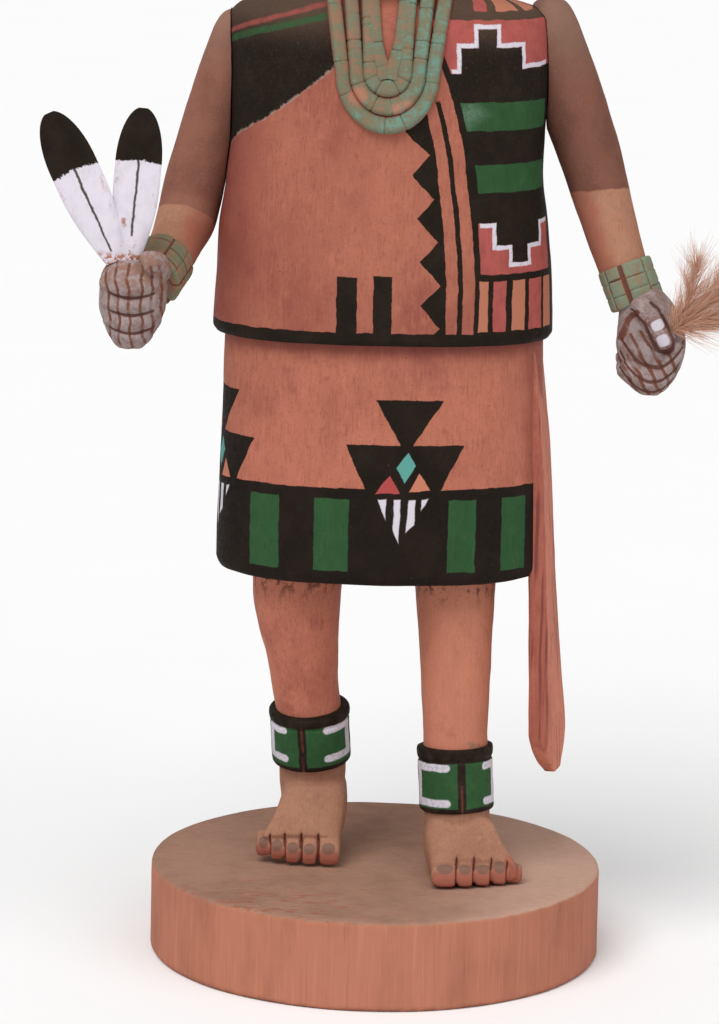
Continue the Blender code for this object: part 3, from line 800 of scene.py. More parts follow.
    def wood(self, light, dark, reach=1.0):
        """Sanded cottonwood, its fibres running up the piece, stained unevenly."""
        fibre = self.noise(0.5 * reach, 3.0, 0.6, (1, 1, 8))
        fleck = self.noise(0.8 * reach, 2.0, 0.6, (1, 1, 5), 5.0)
        grit = self.noise(0.42, 2.0, 0.7, (1, 1, 1.5), 8.0)
        cloud = self.noise(15 * reach, 4.0, 0.6, (1, 1, 1.6), 2.0)
        pale = tuple(min(1.0, part * 1.25) for part in light)
        self.colour = self.mix(light, dark, self.ramp(cloud, 0.44, 0.78) * 0.6)
        self.coat(pale, self.ramp(cloud, 0.48, 0.28) * 0.45)
        self.coat(pale, self.ramp(fibre, 0.5, 0.75) * 0.4)
        self.coat(dark, self.ramp(fibre, 0.48, 0.24) * 0.42)
        self.coat(dark, self.ramp(grit, 0.50, 0.72) * 0.34)
        blotch = self.noise(2.4, 4.0, 0.65, (1, 1, 1.4), 13.0)
        self.coat(dark, self.ramp(blotch, 0.54, 0.76) * 0.4)
        self.coat(pale, self.ramp(blotch, 0.44, 0.28) * 0.4)
        self.coat(dark, self.ramp(fleck, 0.58, 0.78) * 0.22)
        speck = self.noise(1.0, 1.0, shift=21.0)
        self.coat(tuple(part * 0.4 for part in dark), self.ramp(speck, 0.77, 0.82) * 0.55)
        return fibre

    def stroke(self, across, up, left, right, middle, half):
        """How far outside a level brush stroke with round ends a point is."""
        past = self.sum("MAXIMUM", abs(across - (left + right) / 2) - ((right - left) / 2 - half), 0.0)
        return self.from_spot(past, up - middle) - half

    def done(self, roughness=0.72, height=None, depth=0.06, specular=0.12):
        """Ends the mix. The surface is a little smoother where it is rubbed; depth is in millimetres."""
        self.feed(self.shader.inputs["Base Color"], self.colour)
        rubbed = self.noise(1.3, 3.0, 0.6, shift=50.0)
        sheen = self.ramp(rubbed, 0.35, 0.65, roughness + MATTER, roughness - SHINIER)
        self.feed(self.shader.inputs["Roughness"], sheen)
        self.shader.inputs["Specular IOR Level"].default_value = specular
        if height is not None:
            inputs = {"Height": height, "Distance": depth * MM, "Strength": 1.0}
            bump = self.node("ShaderNodeBump", inputs=inputs).outputs["Normal"]
            self.feed(self.shader.inputs["Normal"], bump)
        return self.material


def darker(colour, share):
    """A colour made darker, or lighter by a share above 1."""
    return tuple(part * share for part in tuple(colour)[:3])


def tones(finish, colour, other, size, share, shift=0.0):
    """One paint in two tones, laid on unevenly."""
    cloud = finish.noise(size, 3.0, 0.6, (1, 1, 1.3), shift)
    return finish.mix(colour, other, finish.ramp(cloud, 0.35, 0.75) * share)


# Tunic paint. Bars: middle, half width, top. Cloth edge: a point across and up, its rise, its steepness
TUNIC_HALF_ROUND = 104.7
TUNIC_HEM = 134.8
TUNIC_BARS = ((-8.6, 2.4, 148.0), (-0.2, 2.2, 148.4))
BACK_BARE = 26.0
SHOULDER_CLOTH_END = -4.0
SHOULDER_CLOTH = ((-46.4, 176.6, 0.46, 0.9), (-30.1, 184.1, 0.68, 0.83), (-21.0, 190.3, 0.81, 0.78))
SHOULDER_RED = (-44.5, 202.9, 0.27, 0.55)
SHOULDER_GREEN = (-46.3, 200.7, 0.24, 0.75)
SHOULDER_LINES_END = -12.0
SAW_FOOT, SAW_TOP, SAW_PITCH = 136.0, 186.6, 10.2
SAW_INNER, SAW_OUTER, SAW_DEPTH = 14.7, 13.3, 4.6
PANEL_LEFT, PANEL_RIGHT, PANEL_LOW, PANEL_HIGH = 21.6, 50.0, 133.0, 215.0
UPPER_STEPS = ((23.25, 2.35, 206.0), (24.65, 7.85, 201.8))
LOWER_STEPS = ((34.0, 7.0, 155.5), (33.85, 2.45, 151.4))
STRIPES_MIDDLE, STRIPES_HALF = 141.2, 6.0
RED_STRIPES = ((28.0, 1.7), (39.0, 2.4))
TAN_STRIPES = ((23.85, 1.15), (33.35, 1.95), (44.7, 2.2))
YOKE_LOW, YOKE_HIGH = 209.9, 214.0
YOKE_RED = ((21.5, 1.7), (44.0, 1.6))
YOKE_TAN = ((28.5, 3.1), (37.5, 3.6))
GREEN_BLOCKS = ((23.3, 43.6, 185.85), (24.0, 45.6, 171.3))
GREEN_BLOCK_HALF = 3.3

# Kilt paint. The painted figure's corners are across and up from its own middle
KILT_BORDER = 97.1
FIGURE_MIDDLE, FIGURE_HALF_PITCH = 5.8, 25.675
FIGURE_UPPER = ((-7.3, 118.5), (8.7, 118.5), (1.2, 107.0), (-0.9, 107.0))
FIGURE_LOWER = ((-14.4, 107.7), (13.9, 107.7), (7.9, 96.0), (-9.1, 96.0))
FIGURE_DIAMOND = ((0.6, 106.0), (2.4, 102.9), (-0.3, 98.6), (-2.2, 102.3))
FIGURE_RED = ((-3.7, 100.4), (-7.2, 96.0), (-1.3, 96.1))
FIGURE_TAN = ((3.3, 101.1), (0.9, 96.5), (5.9, 96.9))
FIGURE_FRINGE = (
    ((-6.5, 94.6), (-4.4, 94.6), (-4.5, 89.9)),
    ((-2.6, 94.6), (-1.1, 94.6), (-1.4, 84.2), (-2.7, 87.2)),
    ((0.9, 94.6), (2.6, 94.6), (2.2, 88.6), (0.3, 86.9)),
    ((4.1, 94.7), (5.6, 94.9), (4.0, 92.2)),
)
KILT_BARS = (
    (-28.4, 3.9), (-11.65, 4.15), (19.6, 3.4), (33.4, 3.6),
    (70.5, 3.9), (87.0, 4.0), (-88.0, 3.9), (-69.0, 4.0),
)
KILT_BARS_MIDDLE, KILT_BARS_HALF = 85.75, 8.75

# Other paint
BRACKET_HALF = 0.92
# Height in the doll's frame near which the arms' shoulder tops turn paler: dust, and painted light from
# above.
SHOULDER_DUST_AND_LIGHT = 226.0


def tunic_finish(colours):
    """The tunic: bare stained wood with painted shade at its sides and lower front, black shoulder cloth
    paler on top with dust and painted light, sawtooth band and patterned panel.
    """
    f = Finish("tunic_paint", marked=True)
    fibre = f.wood(darker(colours.wood, 0.90), colours.wood_dark)
    # Painted shade: the wood darker towards both sides and towards the lower front on the figure's right,
    # in uneven blotches.
    shade_blotch = f.noise(7.0, 4.0, 0.65, (1, 1, 1.4), 19.0)
    side_shade = f.ramp(abs(abs(f.across) - TUNIC_HALF_ROUND / 2), 31.0, 9.0) * (0.35 + shade_blotch)
    low = f.ramp(f.up, 176.0, 142.0) * f.ramp(shade_blotch, 0.3, 0.7) * f.ramp(f.across, 4.0, -10.0)
    f.coat(colours.wood_dark, f.most(side_shade, low * 0.45) * 0.8)
    across, up = f.wobbled()
    front = f.edge(abs(across) - TUNIC_HALF_ROUND / 2, 0.5)
    side = f.sum("SIGN", across)
    across = side * f.least(abs(across), TUNIC_HALF_ROUND - abs(across))
    bow = f.sum("MAXIMUM", up - 145.0, 0.0) / 17.1
    curved = across + bow * bow

    chips = f.blots(0.735, 0.76, 0.8, 3.0, 0.65, shift=31.0) * 0.7
    whole = 1.0 - chips
    # Paler black towards the shoulders' tops: dust, and painted light falling on the tops from above. The
    # specks added below are dust.
    dusty = f.ramp(up, 199.0, 212.0) * 0.5 + f.blots(0.4, 0.8, 6.0, 4.0, 0.7) * 0.06
    dusty = dusty + f.blots(0.56, 0.76, 0.45, 2.0, 0.7, shift=14.0) * f.ramp(up, 170.0, 205.0) * 0.28
    black = f.mix(colours.black, colours.dust, dusty)
    green = tones(f, colours.green, darker(colours.green, 1.35), 5.0, 0.6)
    green = f.mix(green, darker(colours.green, 0.72), f.ramp(fibre, 0.5, 0.7) * 0.5)
    red = tones(f, colours.red, darker(colours.red, 0.72), 3.0, 0.8)
    red = f.mix(red, darker(colours.red, 0.66), f.ramp(fibre, 0.5, 0.7) * 0.4)
    worn = f.blots(0.38, 0.62, 0.7, 3.0, 0.7, shift=26.0)

    back = BACK_BARE * (0.5 - front)
    panel = f.most(PANEL_LEFT - curved, across - PANEL_RIGHT, PANEL_LOW - up, up - PANEL_HIGH)
    line = f.most(abs(curved - 18.1) - 0.62, (up - 189.5) * 0.25)
    wave = f.sum("FRACT", (up - SAW_FOOT) / SAW_PITCH)
    tooth = f.least(wave / 0.55, (1.0 - wave) / 0.45)
    saw = f.most(curved - SAW_INNER, SAW_OUTER - SAW_DEPTH * tooth - curved, up - SAW_TOP, back)
    line = f.most(line, back)
    bars = f.least(*(f.most(abs(across - middle) - half, up - top) for middle, half, top in TUNIC_BARS))
    cloth = f.most(across - SHOULDER_CLOTH_END, *(
        (height + (across - start) * rise - up) * steep for start, height, rise, steep in SHOULDER_CLOTH
    ))
    rub = f.edge(abs(cloth) - 0.26, 0.5) * f.blots(0.41, 0.56, 1.5, 3.0, 0.6, shift=9.0)
    blacks = f.least(panel, line, saw, up - TUNIC_HEM, f.most(bars, back), cloth)
    f.coat(black, f.edge(blacks) * whole)
    f.coat((0.36, 0.27, 0.235), rub * 0.7)

    upper = f.least(up - (196.3 + (across - 24.0) * 0.05), *(
        f.most(abs(across - middle) - half, up - top) for middle, half, top in UPPER_STEPS
    ))
    lower = f.least(160.8 - up, *(
        f.most(abs(across - middle) - half, bottom - up) for middle, half, bottom in LOWER_STEPS
    ))
    inside = f.most(23.2 - curved, across - 46.2)
    upper_red = f.most(inside, up - 208.0, -upper)
    lower_red = f.most(inside, 148.8 - up, -lower)
    stripes = abs(up - STRIPES_MIDDLE) - STRIPES_HALF
    yoke = f.most(YOKE_LOW - up, up - YOKE_HIGH)
    stripe_red = f.most(f.columns(across, RED_STRIPES), stripes)
    squares = f.most(f.columns(across, YOKE_RED), yoke)
    line_red, line_green = (
        f.most(abs(up - (height + (across - start) * rise)) - half, across - SHOULDER_LINES_END)
        for start, height, rise, half in (SHOULDER_RED, SHOULDER_GREEN)
    )
    f.coat(red, f.edge(f.least(upper_red, lower_red, stripe_red, squares)) * whole)
    rubbed = f.blots(0.34, 0.60, 2.2, 4.0, 0.7, shift=40.0)
    f.coat(darker(colours.red, 0.74), f.edge(line_red, 0.5) * (0.45 + 0.4 * rubbed))

    tans = f.most(f.columns(across, TAN_STRIPES), stripes)
    f.coat(colours.orange, f.edge(f.least(tans, f.most(f.columns(across, YOKE_TAN), yoke))) * whole * 0.85)

    first, second = (
        f.most(left - curved, across - right, abs(up - middle) - GREEN_BLOCK_HALF)
        for left, right, middle in GREEN_BLOCKS
    )
    f.coat(green, f.edge(f.least(first, second)) * whole)
    f.coat(darker(colours.green, 1.15), f.edge(line_green, 0.5) * (0.5 + 0.4 * rubbed))
    pale = f.ramp(abs(across - 19.0) * 0.7 + abs(up - 186.5), 5.5, 0.3)
    f.coat((0.14, 0.22, 0.15), pale * f.edge(first) * (0.5 + 0.5 * worn) * 0.7)

    edging = f.least(f.most(upper - 1.0, -upper, across - 42.4), f.most(lower - 1.0, -lower, across - 46.0))
    edging = f.most(edging, 23.6 - curved, f.most(up - 208.5, 149.0 - up))
    thin = f.blots(0.5, 0.72, 0.6, 2.0, shift=5.0) * 0.6
    brushed = f.mix(colours.white, darker(colours.white, 0.62), thin)
    f.coat(brushed, f.edge(edging, 0.25) * (1.0 - chips * 0.5))
    height = fibre * 0.5 + f.noise(0.35, 2.0) * 0.5 + f.edge(blacks, 0.4) * 0.3
    return f.done(0.74, height, 0.05)


def kilt_finish(colours):
    """The kilt: bare wood above a black border with green bars, and a stepped figure four times round;
    painted shade beside the sash and painted shadow under the tunic's hem.
    """
    f = Finish("kilt_paint", marked=True)
    fibre = f.wood(darker(colours.wood, 1.0), colours.wood_dark)
    # Painted shade: darker at the left front corner beside the sash; painted shadow under the tunic's hem.
    shade_blotch = f.noise(6.0, 4.0, 0.65, (1, 1, 1.8), 19.0)
    side_shade = f.ramp(abs(f.across - 42.5), 9.0, 2.0) * (0.3 + shade_blotch * 0.8)
    hem_shadow = f.ramp(f.up + (shade_blotch - 0.5) * 5.0, 126.5, 131.5)
    f.coat(colours.wood_dark, f.most(side_shade, hem_shadow) * 0.75)
    across, up = f.wobbled()
    motif = f.sum("WRAP", across - FIGURE_MIDDLE, FIGURE_HALF_PITCH, -FIGURE_HALF_PITCH)
    chips = f.blots(0.735, 0.76, 0.75, 3.0, 0.65, shift=31.0) * 0.7
    whole = 1.0 - chips
    black = tones(f, darker(colours.black, 0.85), darker(colours.dust, 0.15), 9.0, 0.5)
    dusty = f.blots(0.62, 0.75, 0.8, 3.0, 0.7, shift=6.0) * 0.22
    black = f.mix(black, darker(colours.dust, 0.6), dusty)
    green = tones(f, colours.green, darker(colours.green, 1.3), 4.0, 0.6)
    green = f.mix(green, darker(colours.green, 0.7), f.ramp(fibre, 0.5, 0.7) * 0.5)
    rubbed = f.blots(0.64, 0.74, 0.55, 3.0, 0.7, (1, 1, 2.5), 3.0) * 0.4
    green = f.mix(green, darker(colours.wood, 0.5), rubbed)

    upper, lower = f.patch(motif, up, *FIGURE_UPPER), f.patch(motif, up, *FIGURE_LOWER)
    f.coat(black, f.edge(f.least(up - KILT_BORDER, upper, lower)) * whole)
    bars = f.most(f.columns(across, KILT_BARS), abs(up - KILT_BARS_MIDDLE) - KILT_BARS_HALF)
    f.coat(green, f.edge(bars) * whole)
    for paint, corners in (
        ((0.105, 0.325, 0.285), FIGURE_DIAMOND),
        ((0.39, 0.066, 0.062), FIGURE_RED),
        (colours.orange, FIGURE_TAN),
    ):
        f.coat(paint, f.edge(f.patch(motif, up, *corners)) * whole)
    fringe = f.least(*(f.patch(motif, up, *corners) for corners in FIGURE_FRINGE))
    f.coat(colours.white, f.edge(fringe, 0.25))
    return f.done(0.74, fibre * 0.5 + f.noise(0.35, 2.0) * 0.5, 0.05)


def leg_finish(colours):
    """Bare legs: stained wood, the left leg lighter with painted light, with paint rubbed off the kilt on
    to their tops.
    """
    f = Finish("leg_wood")
    fibre = f.wood(darker(colours.wood, 1.15), colours.wood_dark)
    x, _, height = f.split(f.place)
    # Painted light: the left leg laid lighter, as if more strongly lit.
    f.coat((0.56, 0.235, 0.145), f.ramp(x, -4.0, 4.0) * 0.42)
    under_hem = f.ramp(height, (SOLE / MM) + 65.0, (SOLE / MM) + 73.0)
    smudge = under_hem * f.blots(0.52, 0.62, 1.6, 4.0, 0.7, (1, 1, 1.5))
    f.coat(darker(colours.black, 1.3), smudge * 0.85)
    spots_green = under_hem * f.blots(0.62, 0.68, 0.9, 3.0, 0.7, shift=14.0)
    f.coat(colours.green, spots_green * 0.9)
    grime = f.blots(0.55, 0.8, 7.0, 3.0, 0.6, shift=8.0)
    f.coat(darker(colours.wood_dark, 0.8), grime * 0.35)
    return f.done(0.7, fibre, 0.05)


def foot_finish(colours):
    """Feet: dusty on top, redder at the cut toes, with painted nails."""
    f = Finish("foot_wood")
    fibre = f.wood((0.375, 0.188, 0.118), (0.25, 0.10, 0.068))
    _, _, height = f.split(f.place)
    low = f.ramp(height + (f.noise(2.0) - 0.5) * 3.0, SOLE / MM + 5.2, SOLE / MM + 1.2)
    f.coat(darker(colours.wood, 0.82), low * 0.55)
    f.coat((0.36, 0.115, 0.080), f.ramp(f.attribute("front") + (f.noise(1.2) - 0.5) * 0.5, 0.25, 0.8) * 0.8)
    f.coat((0.20, 0.112, 0.082), f.ramp(f.attribute("nail"), 0.35, 0.6) * 0.9)
    f.coat((0.15, 0.038, 0.028), f.ramp(f.attribute("cut"), 0.3, 0.8) * 0.9)
    return f.done(0.8, fibre, 0.04)


def ankle_finish(name, colours, stripe, left_ends, right_ends, bare_top, levels):
    """An ankle band: green field, dark rims and stripe, white brackets."""
    f = Finish(name, marked=True)
    f.colour = tones(f, colours.green, darker(colours.green, 1.5), 3.0, 0.6)
    across, up = f.wobbled(0.22, 2.6)
    chips = f.blots(0.72, 0.76, 0.9, 3.0, 0.65, shift=31.0)
    strokes = None
    for ends in (left_ends, right_ends):
        for middle in levels:
            arm = f.stroke(across, up, *ends, middle, BRACKET_HALF)
            strokes = arm if strokes is None else f.least(strokes, arm)
    posts = f.least(abs(across - left_ends[0] - 1.3), abs(across - right_ends[1] + 1.3)) - 1.2
    posts = f.most(posts, abs(up - sum(levels) / 2) - (levels[0] - levels[1]) / 2 - BRACKET_HALF)
    brushed = f.mix(colours.white, (0.40, 0.42, 0.47), f.blots(0.45, 0.7, 0.8, 3.0, shift=5.0) * 0.8)
    f.coat(brushed, f.edge(f.least(strokes, posts), 0.35))
    black = tones(f, colours.black, darker(colours.dust, 0.3), 3.0, 0.6)
    dark = f.least(levels[0] + 1.0 - up, up - 1.5, abs(across - stripe) - 1.0)
    f.coat(black, f.edge(dark) * (1.0 - chips))
    bare = f.most(abs(across - stripe) - 0.26, up - bare_top)
    f.coat((0.125, 0.036, 0.026), f.edge(bare, 0.3) * f.blots(0.3, 0.5, 2.5, 2.0, shift=4.0))
    return f.done(0.7, f.noise(0.5, 3.0), 0.04)


# Where the paint is rubbed off the beads: sideways, height, reach
WORN_BEADS = ((-6.8, 190.6, 2.7), (2.4, 187.6, 2.0), (4.9, 188.8, 1.8))


def bead_finish(colours):
    """Turquoise paint worn to the wood on the beads' backs, dark in the cuts between them."""
    f = Finish("bead_paint", marked=True)
    f.colour = tones(f, (0.27, 0.150, 0.092), (0.33, 0.140, 0.088), 1.2, 1.0)
    fine = f.noise(0.5, 4.0, 0.75)
    cloud = f.noise(3.2, 3.0, 0.6, shift=6.0)
    x, _, height = f.split(f.place)
    fresh = f.ramp(x, -6.0, 8.0) * 0.09 + f.ramp(height, 214.0, 206.0) * 0.06
    share = fine * 0.45 + cloud * 0.55 + fresh
    paint = f.mix((0.165, 0.165, 0.100), colours.turquoise, f.ramp(share, 0.53, 0.70))
    f.coat(paint, f.ramp(share, 0.42, 0.54) * 0.92)
    for patch_x, patch_height, reach in WORN_BEADS:
        near = f.from_spot(x - (patch_x + FIGURE_X), height - (patch_height + SOLE / MM))
        near = near + (fine - 0.5) * 4.0
        f.coat((0.43, 0.180, 0.115), f.ramp(near, reach, reach - 1.4) * 0.85)
    f.coat((0.36, 0.080, 0.056), f.ramp(f.attribute("side"), 0.30, 0.62) * 0.95)
    f.coat((0.075, 0.060, 0.038), f.ramp(f.attribute("cut") + (cloud - 0.5) * 1.6, 0.4, 1.05) * 0.6)
    return f.done(0.7, fine + cloud * 0.6, 0.09, 0.2)


def wrist_finish(name, colours, paint, worn_paint):
    """Pale turquoise wrist bands, wood showing in the cut grid."""
    f = Finish(name, marked=True)
    f.wood(darker(colours.wood, 0.8), colours.wood_dark)
    worn = f.noise(0.7, 4.0, 0.75) * 0.5 + f.noise(3.0, 3.0, shift=6.0) * 0.5
    mixed = f.mix(paint, worn_paint, f.ramp(worn, 0.42, 0.58))
    f.coat(mixed, 1.0 - f.ramp(worn, 0.54, 0.66) * 0.8)
    f.coat((0.14, 0.042, 0.029), f.ramp(f.attribute("cut") + (worn - 0.5) * 0.8, 0.3, 0.75) * 0.92)
    return f.done(0.72, f.noise(0.6, 3.0), 0.08)


def arm_finish(name, colours, boundary, wrist, direction, bare, tone):
    """Arm: brown paint above, bare tan wood on the forearm with painted shade on its inner side, grey hands
    with lines scratched to the wood.

    boundary gives the paint's lower edge: its height and how that rises to the left and to the back.
    bare is how far the paint is rubbed off the hand's top, tone how light the brown paint is: the right
    arm's lighter and the left arm's darker brown are painted light and shade."""
    f = Finish(name)
    # Painted light and shade: tone makes one arm's brown lighter and the other's darker.
    brown = darker(colours.skin, tone)
    fibre = f.wood((0.41, 0.200, 0.125), (0.30, 0.105, 0.070))
    x, y, height = f.split(f.place)
    level, across_rise, back_rise = boundary
    line = level + x * across_rise + y * back_rise + (f.noise(5.0, 2.0) - 0.5) * 1.6 - height
    skin = tones(f, brown, darker(brown, 0.7), 7.0, 0.8)
    speck = f.noise(0.42, 2.0, 0.7, shift=12.0)
    skin = f.mix(skin, darker(brown, 1.6), f.ramp(speck, 0.52, 0.78) * 0.5)
    # Paler towards the shoulder's top: dust, and painted light falling on the top from above.
    skin = f.mix(skin, (0.30, 0.19, 0.14), f.ramp(height, SHOULDER_DUST_AND_LIGHT - 14.0, SHOULDER_DUST_AND_LIGHT + 4.0) * 0.45)
    f.coat(skin, f.edge(line, 0.5))
    # Painted shade: the forearm's inner side, towards the body, darker and redder.
    inward = abs(wrist.x) - x * math.copysign(1.0, wrist.x) - (height - wrist.z) * 0.34
    inner_shade = f.ramp(inward + (f.noise(3.0, 3.0) - 0.5) * 3.0, 0.5, 4.5) * f.edge(-line, 0.5)
    f.coat((0.37, 0.110, 0.075), inner_shade * 0.62)
    smoke = f.blots(0.5, 0.7, 4.0, 4.0, 0.7, shift=27.0) * f.edge(-line, 0.5)
    f.coat((0.25, 0.165, 0.115), smoke * 0.45)
    beyond = (x - wrist.x) * direction.x + (y - wrist.y) * direction.y + (height - wrist.z) * direction.z
    worn = f.noise(2.2, 4.0, 0.65, shift=2.0)
    hand = f.mix(colours.hands, (0.195, 0.112, 0.088), f.ramp(worn, 0.41, 0.64) * 0.68)
    f.coat(hand, f.edge(-beyond, 0.4))
    top = f.ramp(height, wrist.z - 7.0, wrist.z + 3.0) * f.ramp(worn, 0.40, 0.56) * f.edge(-beyond, 0.4)
    f.coat((0.30, 0.155, 0.11), top * bare)
    ragged = (f.noise(0.9, 3.0, 0.7) - 0.5) * 1.1
    faint = f.blots(0.36, 0.52, 3.0, 2.0, shift=33.0) * 0.6 + 0.4
    f.coat((0.160, 0.056, 0.036), f.ramp(f.attribute("cut") + ragged, 0.38, 0.72) * faint * 0.95)
    f.coat((0.100, 0.037, 0.025), f.ramp(f.attribute("groove") + ragged * 0.5, 0.42, 0.85) * 0.92)
    f.coat((0.60, 0.55, 0.62), f.ramp(f.attribute("nail") + ragged * 0.25, 0.35, 0.65) * 0.9)
    return f.done(0.78, fibre * 0.4 + f.noise(0.4, 2.0), 0.05)


def sash_finish(colours):
    """A bare stained board, its grain running down it, its front edge darker with painted shade."""
    f = Finish("sash_wood")
    light = darker(colours.wood, 1.3)
    fibre = f.wood(light, colours.wood_dark, 1.25)
    _, forward, _ = f.split(f.place)
    # Painted shade: the board darker along its front edge.
    front_edge_shade = f.ramp(forward + (f.noise(2.0, 3.0) - 0.5) * 1.2, -10.0, -11.2)
    f.coat(darker(colours.wood_dark, 1.1), front_edge_shade * 0.62)
    stripe = f.noise(1.7, 2.0, 0.5, (1, 1, 26), 17.0)
    f.coat(darker(colours.wood_dark, 0.7), f.ramp(stripe, 0.57, 0.66) * 0.7)
    pale = f.noise(2.2, 2.0, 0.5, (1, 1, 22), 4.0)
    f.coat(darker(colours.wood, 1.4), f.ramp(pale, 0.55, 0.7) * 0.4)
    return f.done(0.74, fibre + stripe * 0.8, 0.1)


def base_finish(colours):
    """A slice of root: dusty scratched top, lighter on its right with dust and painted light, fine upright
    grain down the side.
    """
    f = Finish("base_wood")
    x, y, height = f.split(f.place)
    fine = f.noise(0.8, 4.0, 0.6, (1, 1, 30))
    broad = f.noise(9.0, 3.0, 0.6, (1, 1, 3.0), 3.0)
    f.colour = f.mix(colours.base_side, darker(colours.base_side, 0.55), f.ramp(broad, 0.4, 0.8) * 0.5)
    f.coat(darker(colours.base_side, 1.2), f.ramp(fine, 0.5, 0.75) * 0.6)
    f.coat(darker(colours.base_side, 0.5), f.ramp(fine, 0.45, 0.2) * 0.5)
    top = tones(f, colours.base_top, darker(colours.base_top, 0.78), 11.0, 0.9)
    grain = f.noise(0.7, 4.0, 0.7, (3, 1, 1), 4.0)
    top = f.mix(top, darker(colours.base_top, 1.25), f.ramp(grain, 0.5, 0.75) * 0.5)
    top = f.mix(top, darker(colours.base_top, 0.62), f.ramp(grain, 0.46, 0.25) * 0.5)
    scratch = f.noise(1.6, 4.0, 0.75, (3.0, 1, 1), 9.0)
    front = f.ramp(y, -14.0, -40.0) * f.ramp(x, 4.0, -22.0)
    top = f.mix(top, (0.33, 0.105, 0.065), f.ramp(scratch, 0.52, 0.63) * (front * 0.85 + 0.18))
    # Lighter towards the right of the top: dust, and painted light that lifts the shade the figure casts
    # there.
    dust_and_painted_light = f.ramp(x + (f.noise(8.0, 3.0, shift=15.0) - 0.5) * 14.0, 8.0, 40.0)
    top = f.mix(top, (0.53, 0.335, 0.255), dust_and_painted_light * (0.75 + (grain - 0.5) * 0.8))
    edge_height = (BASE_HIGH.z / MM) - 0.7 + (f.noise(2.5) - 0.5) * 0.7
    f.coat(top, f.ramp(height - edge_height, -0.25, 0.35))
    foot = f.ramp(height, 1.8, 0.0) * f.blots(0.35, 0.6, 3.0, 3.0, shift=2.0)
    f.coat(darker(colours.base_side, 0.45), foot * 0.6)
    return f.done(0.82, fine * 0.6 + f.noise(0.5, 3.0) * 0.7, 0.09)


def mask_finish(colours):
    """The case mask: worn turquoise, eyes and mouth black."""
    f = Finish("mask_paint", marked=True)
    fibre = f.wood(darker(colours.wood, 0.9), colours.wood_dark)
    worn = f.noise(1.8, 4.0, 0.7) * 0.6 + f.noise(8.0, 2.0, shift=6.0) * 0.4
    paint = tones(f, colours.turquoise, (0.17, 0.29, 0.20), 5.0, 0.8)
    f.coat(paint, 1.0 - f.ramp(worn, 0.62, 0.70) * 0.8)
    f.coat(tuple(colours.black), f.ramp(f.attribute("cut"), 0.3, 0.6))
    across, up = f.wobbled(0.2)
    f.coat(tuple(colours.black), f.edge(up - 217.6))
    return f.done(0.68, fibre * 0.4 + f.noise(0.5), 0.05)


def hair_finish(colours):
    """Black hair, a little dusty on its strands, blacker in its grooves with painted shade."""
    f = Finish("hair_paint")
    strand = f.noise(0.6, 3.0, 0.6, (1, 1, 18))
    f.colour = f.mix(colours.black, darker(colours.dust, 0.5), f.ramp(strand, 0.5, 0.8) * 0.7)
    # Painted shade: blacker in the grooves between the strands.
    f.coat((0.006, 0.004, 0.004), f.ramp(f.attribute("cut"), 0.4, 0.9) * 0.7)
    return f.done(0.6, strand, 0.1, 0.4)


def feather_finish(colours):
    """White paint with black tips and a dark line down each feather, chipped near the hand."""
    f = Finish("feather_paint", marked=True)
    f.colour = tones(f, darker(colours.white, 1.14), darker(colours.white, 0.92), 3.5, 0.7)
    barb = f.noise(0.7, 3.0, 0.6, (1, 1, 7))
    f.coat(darker(colours.white, 0.80), f.ramp(barb, 0.58, 0.8) * 0.4)
    across, up = f.wobbled(0.3, 2.0)
    rachis = f.most(abs(across) - 0.24 - f.ramp(up, 4.0, 26.0) * 0.08, 6.2 - up)
    f.coat(darker(colours.dust, 0.26), f.edge(rachis, 0.2) * 0.93)
    ragged = (f.noise(0.8, 3.0, 0.7, shift=12.0) - 0.5) * 1.6
    tip = f.edge(FEATHER_LENGTH * 0.66 - up - abs(across) * 0.14 + ragged, 0.25)
    f.coat(tones(f, colours.black, darker(colours.dust, 0.2), 4.0, 0.4), tip)
    chip = f.blots(0.57, 0.62, 1.5, 3.0, 0.6, shift=18.0)
    rim = f.ramp(abs(across), 3.2, 5.2) * f.blots(0.55, 0.66, 1.2, 3.0, 0.7, (1, 1, 3), 25.0)
    f.coat((0.40, 0.15, 0.09), f.most(chip * f.ramp(up, 6.0, 2.0), rim * 0.45 * (1.0 - tip)))
    x, _, level = f.split(f.place)
    spot = f.from_spot(x + 61.8, (level - 183.0) * 0.6) + (f.noise(0.8, 2.0) - 0.5) * 1.2
    f.coat((0.36, 0.13, 0.07), f.edge(spot - 0.5, 0.5) * 0.9)
    foot_chip = f.blots(0.48, 0.56, 1.3, 3.0, 0.6, shift=28.0) * f.ramp(level, 176.8, 174.6)
    f.coat((0.40, 0.15, 0.08), foot_chip)
    return f.done(0.74, barb, 0.05)


def down_finish(colours):
    """Down: brown, each barb a tone of its own, paler towards its tip."""
    f = Finish("down_fluff")
    tone = f.attribute("tone")
    tip = f.attribute("tip")
    f.colour = f.mix(darker(colours.down, 0.72), darker(colours.down, 1.35), tone)
    f.coat((0.72, 0.56, 0.48), f.ramp(tone, 0.86, 0.97) * 0.6)
    f.coat((0.60, 0.38, 0.29), tip * 0.3)
    return f.done(0.9, f.noise(0.3), 0.01, 0.1)


def tunic_front(x, height):
    """How far forward the tunic's front lies, in figure millimetres."""
    rows = np.asarray(TUNIC)
    _, half_x, half_y, middle = eased_rows(rows, rows[:, 0], np.array([height]))[0]
    share = min(abs((x - middle) / half_x), 0.999)
    return -half_y * (1 - share**TUNIC_POWER) ** (1 / TUNIC_POWER)


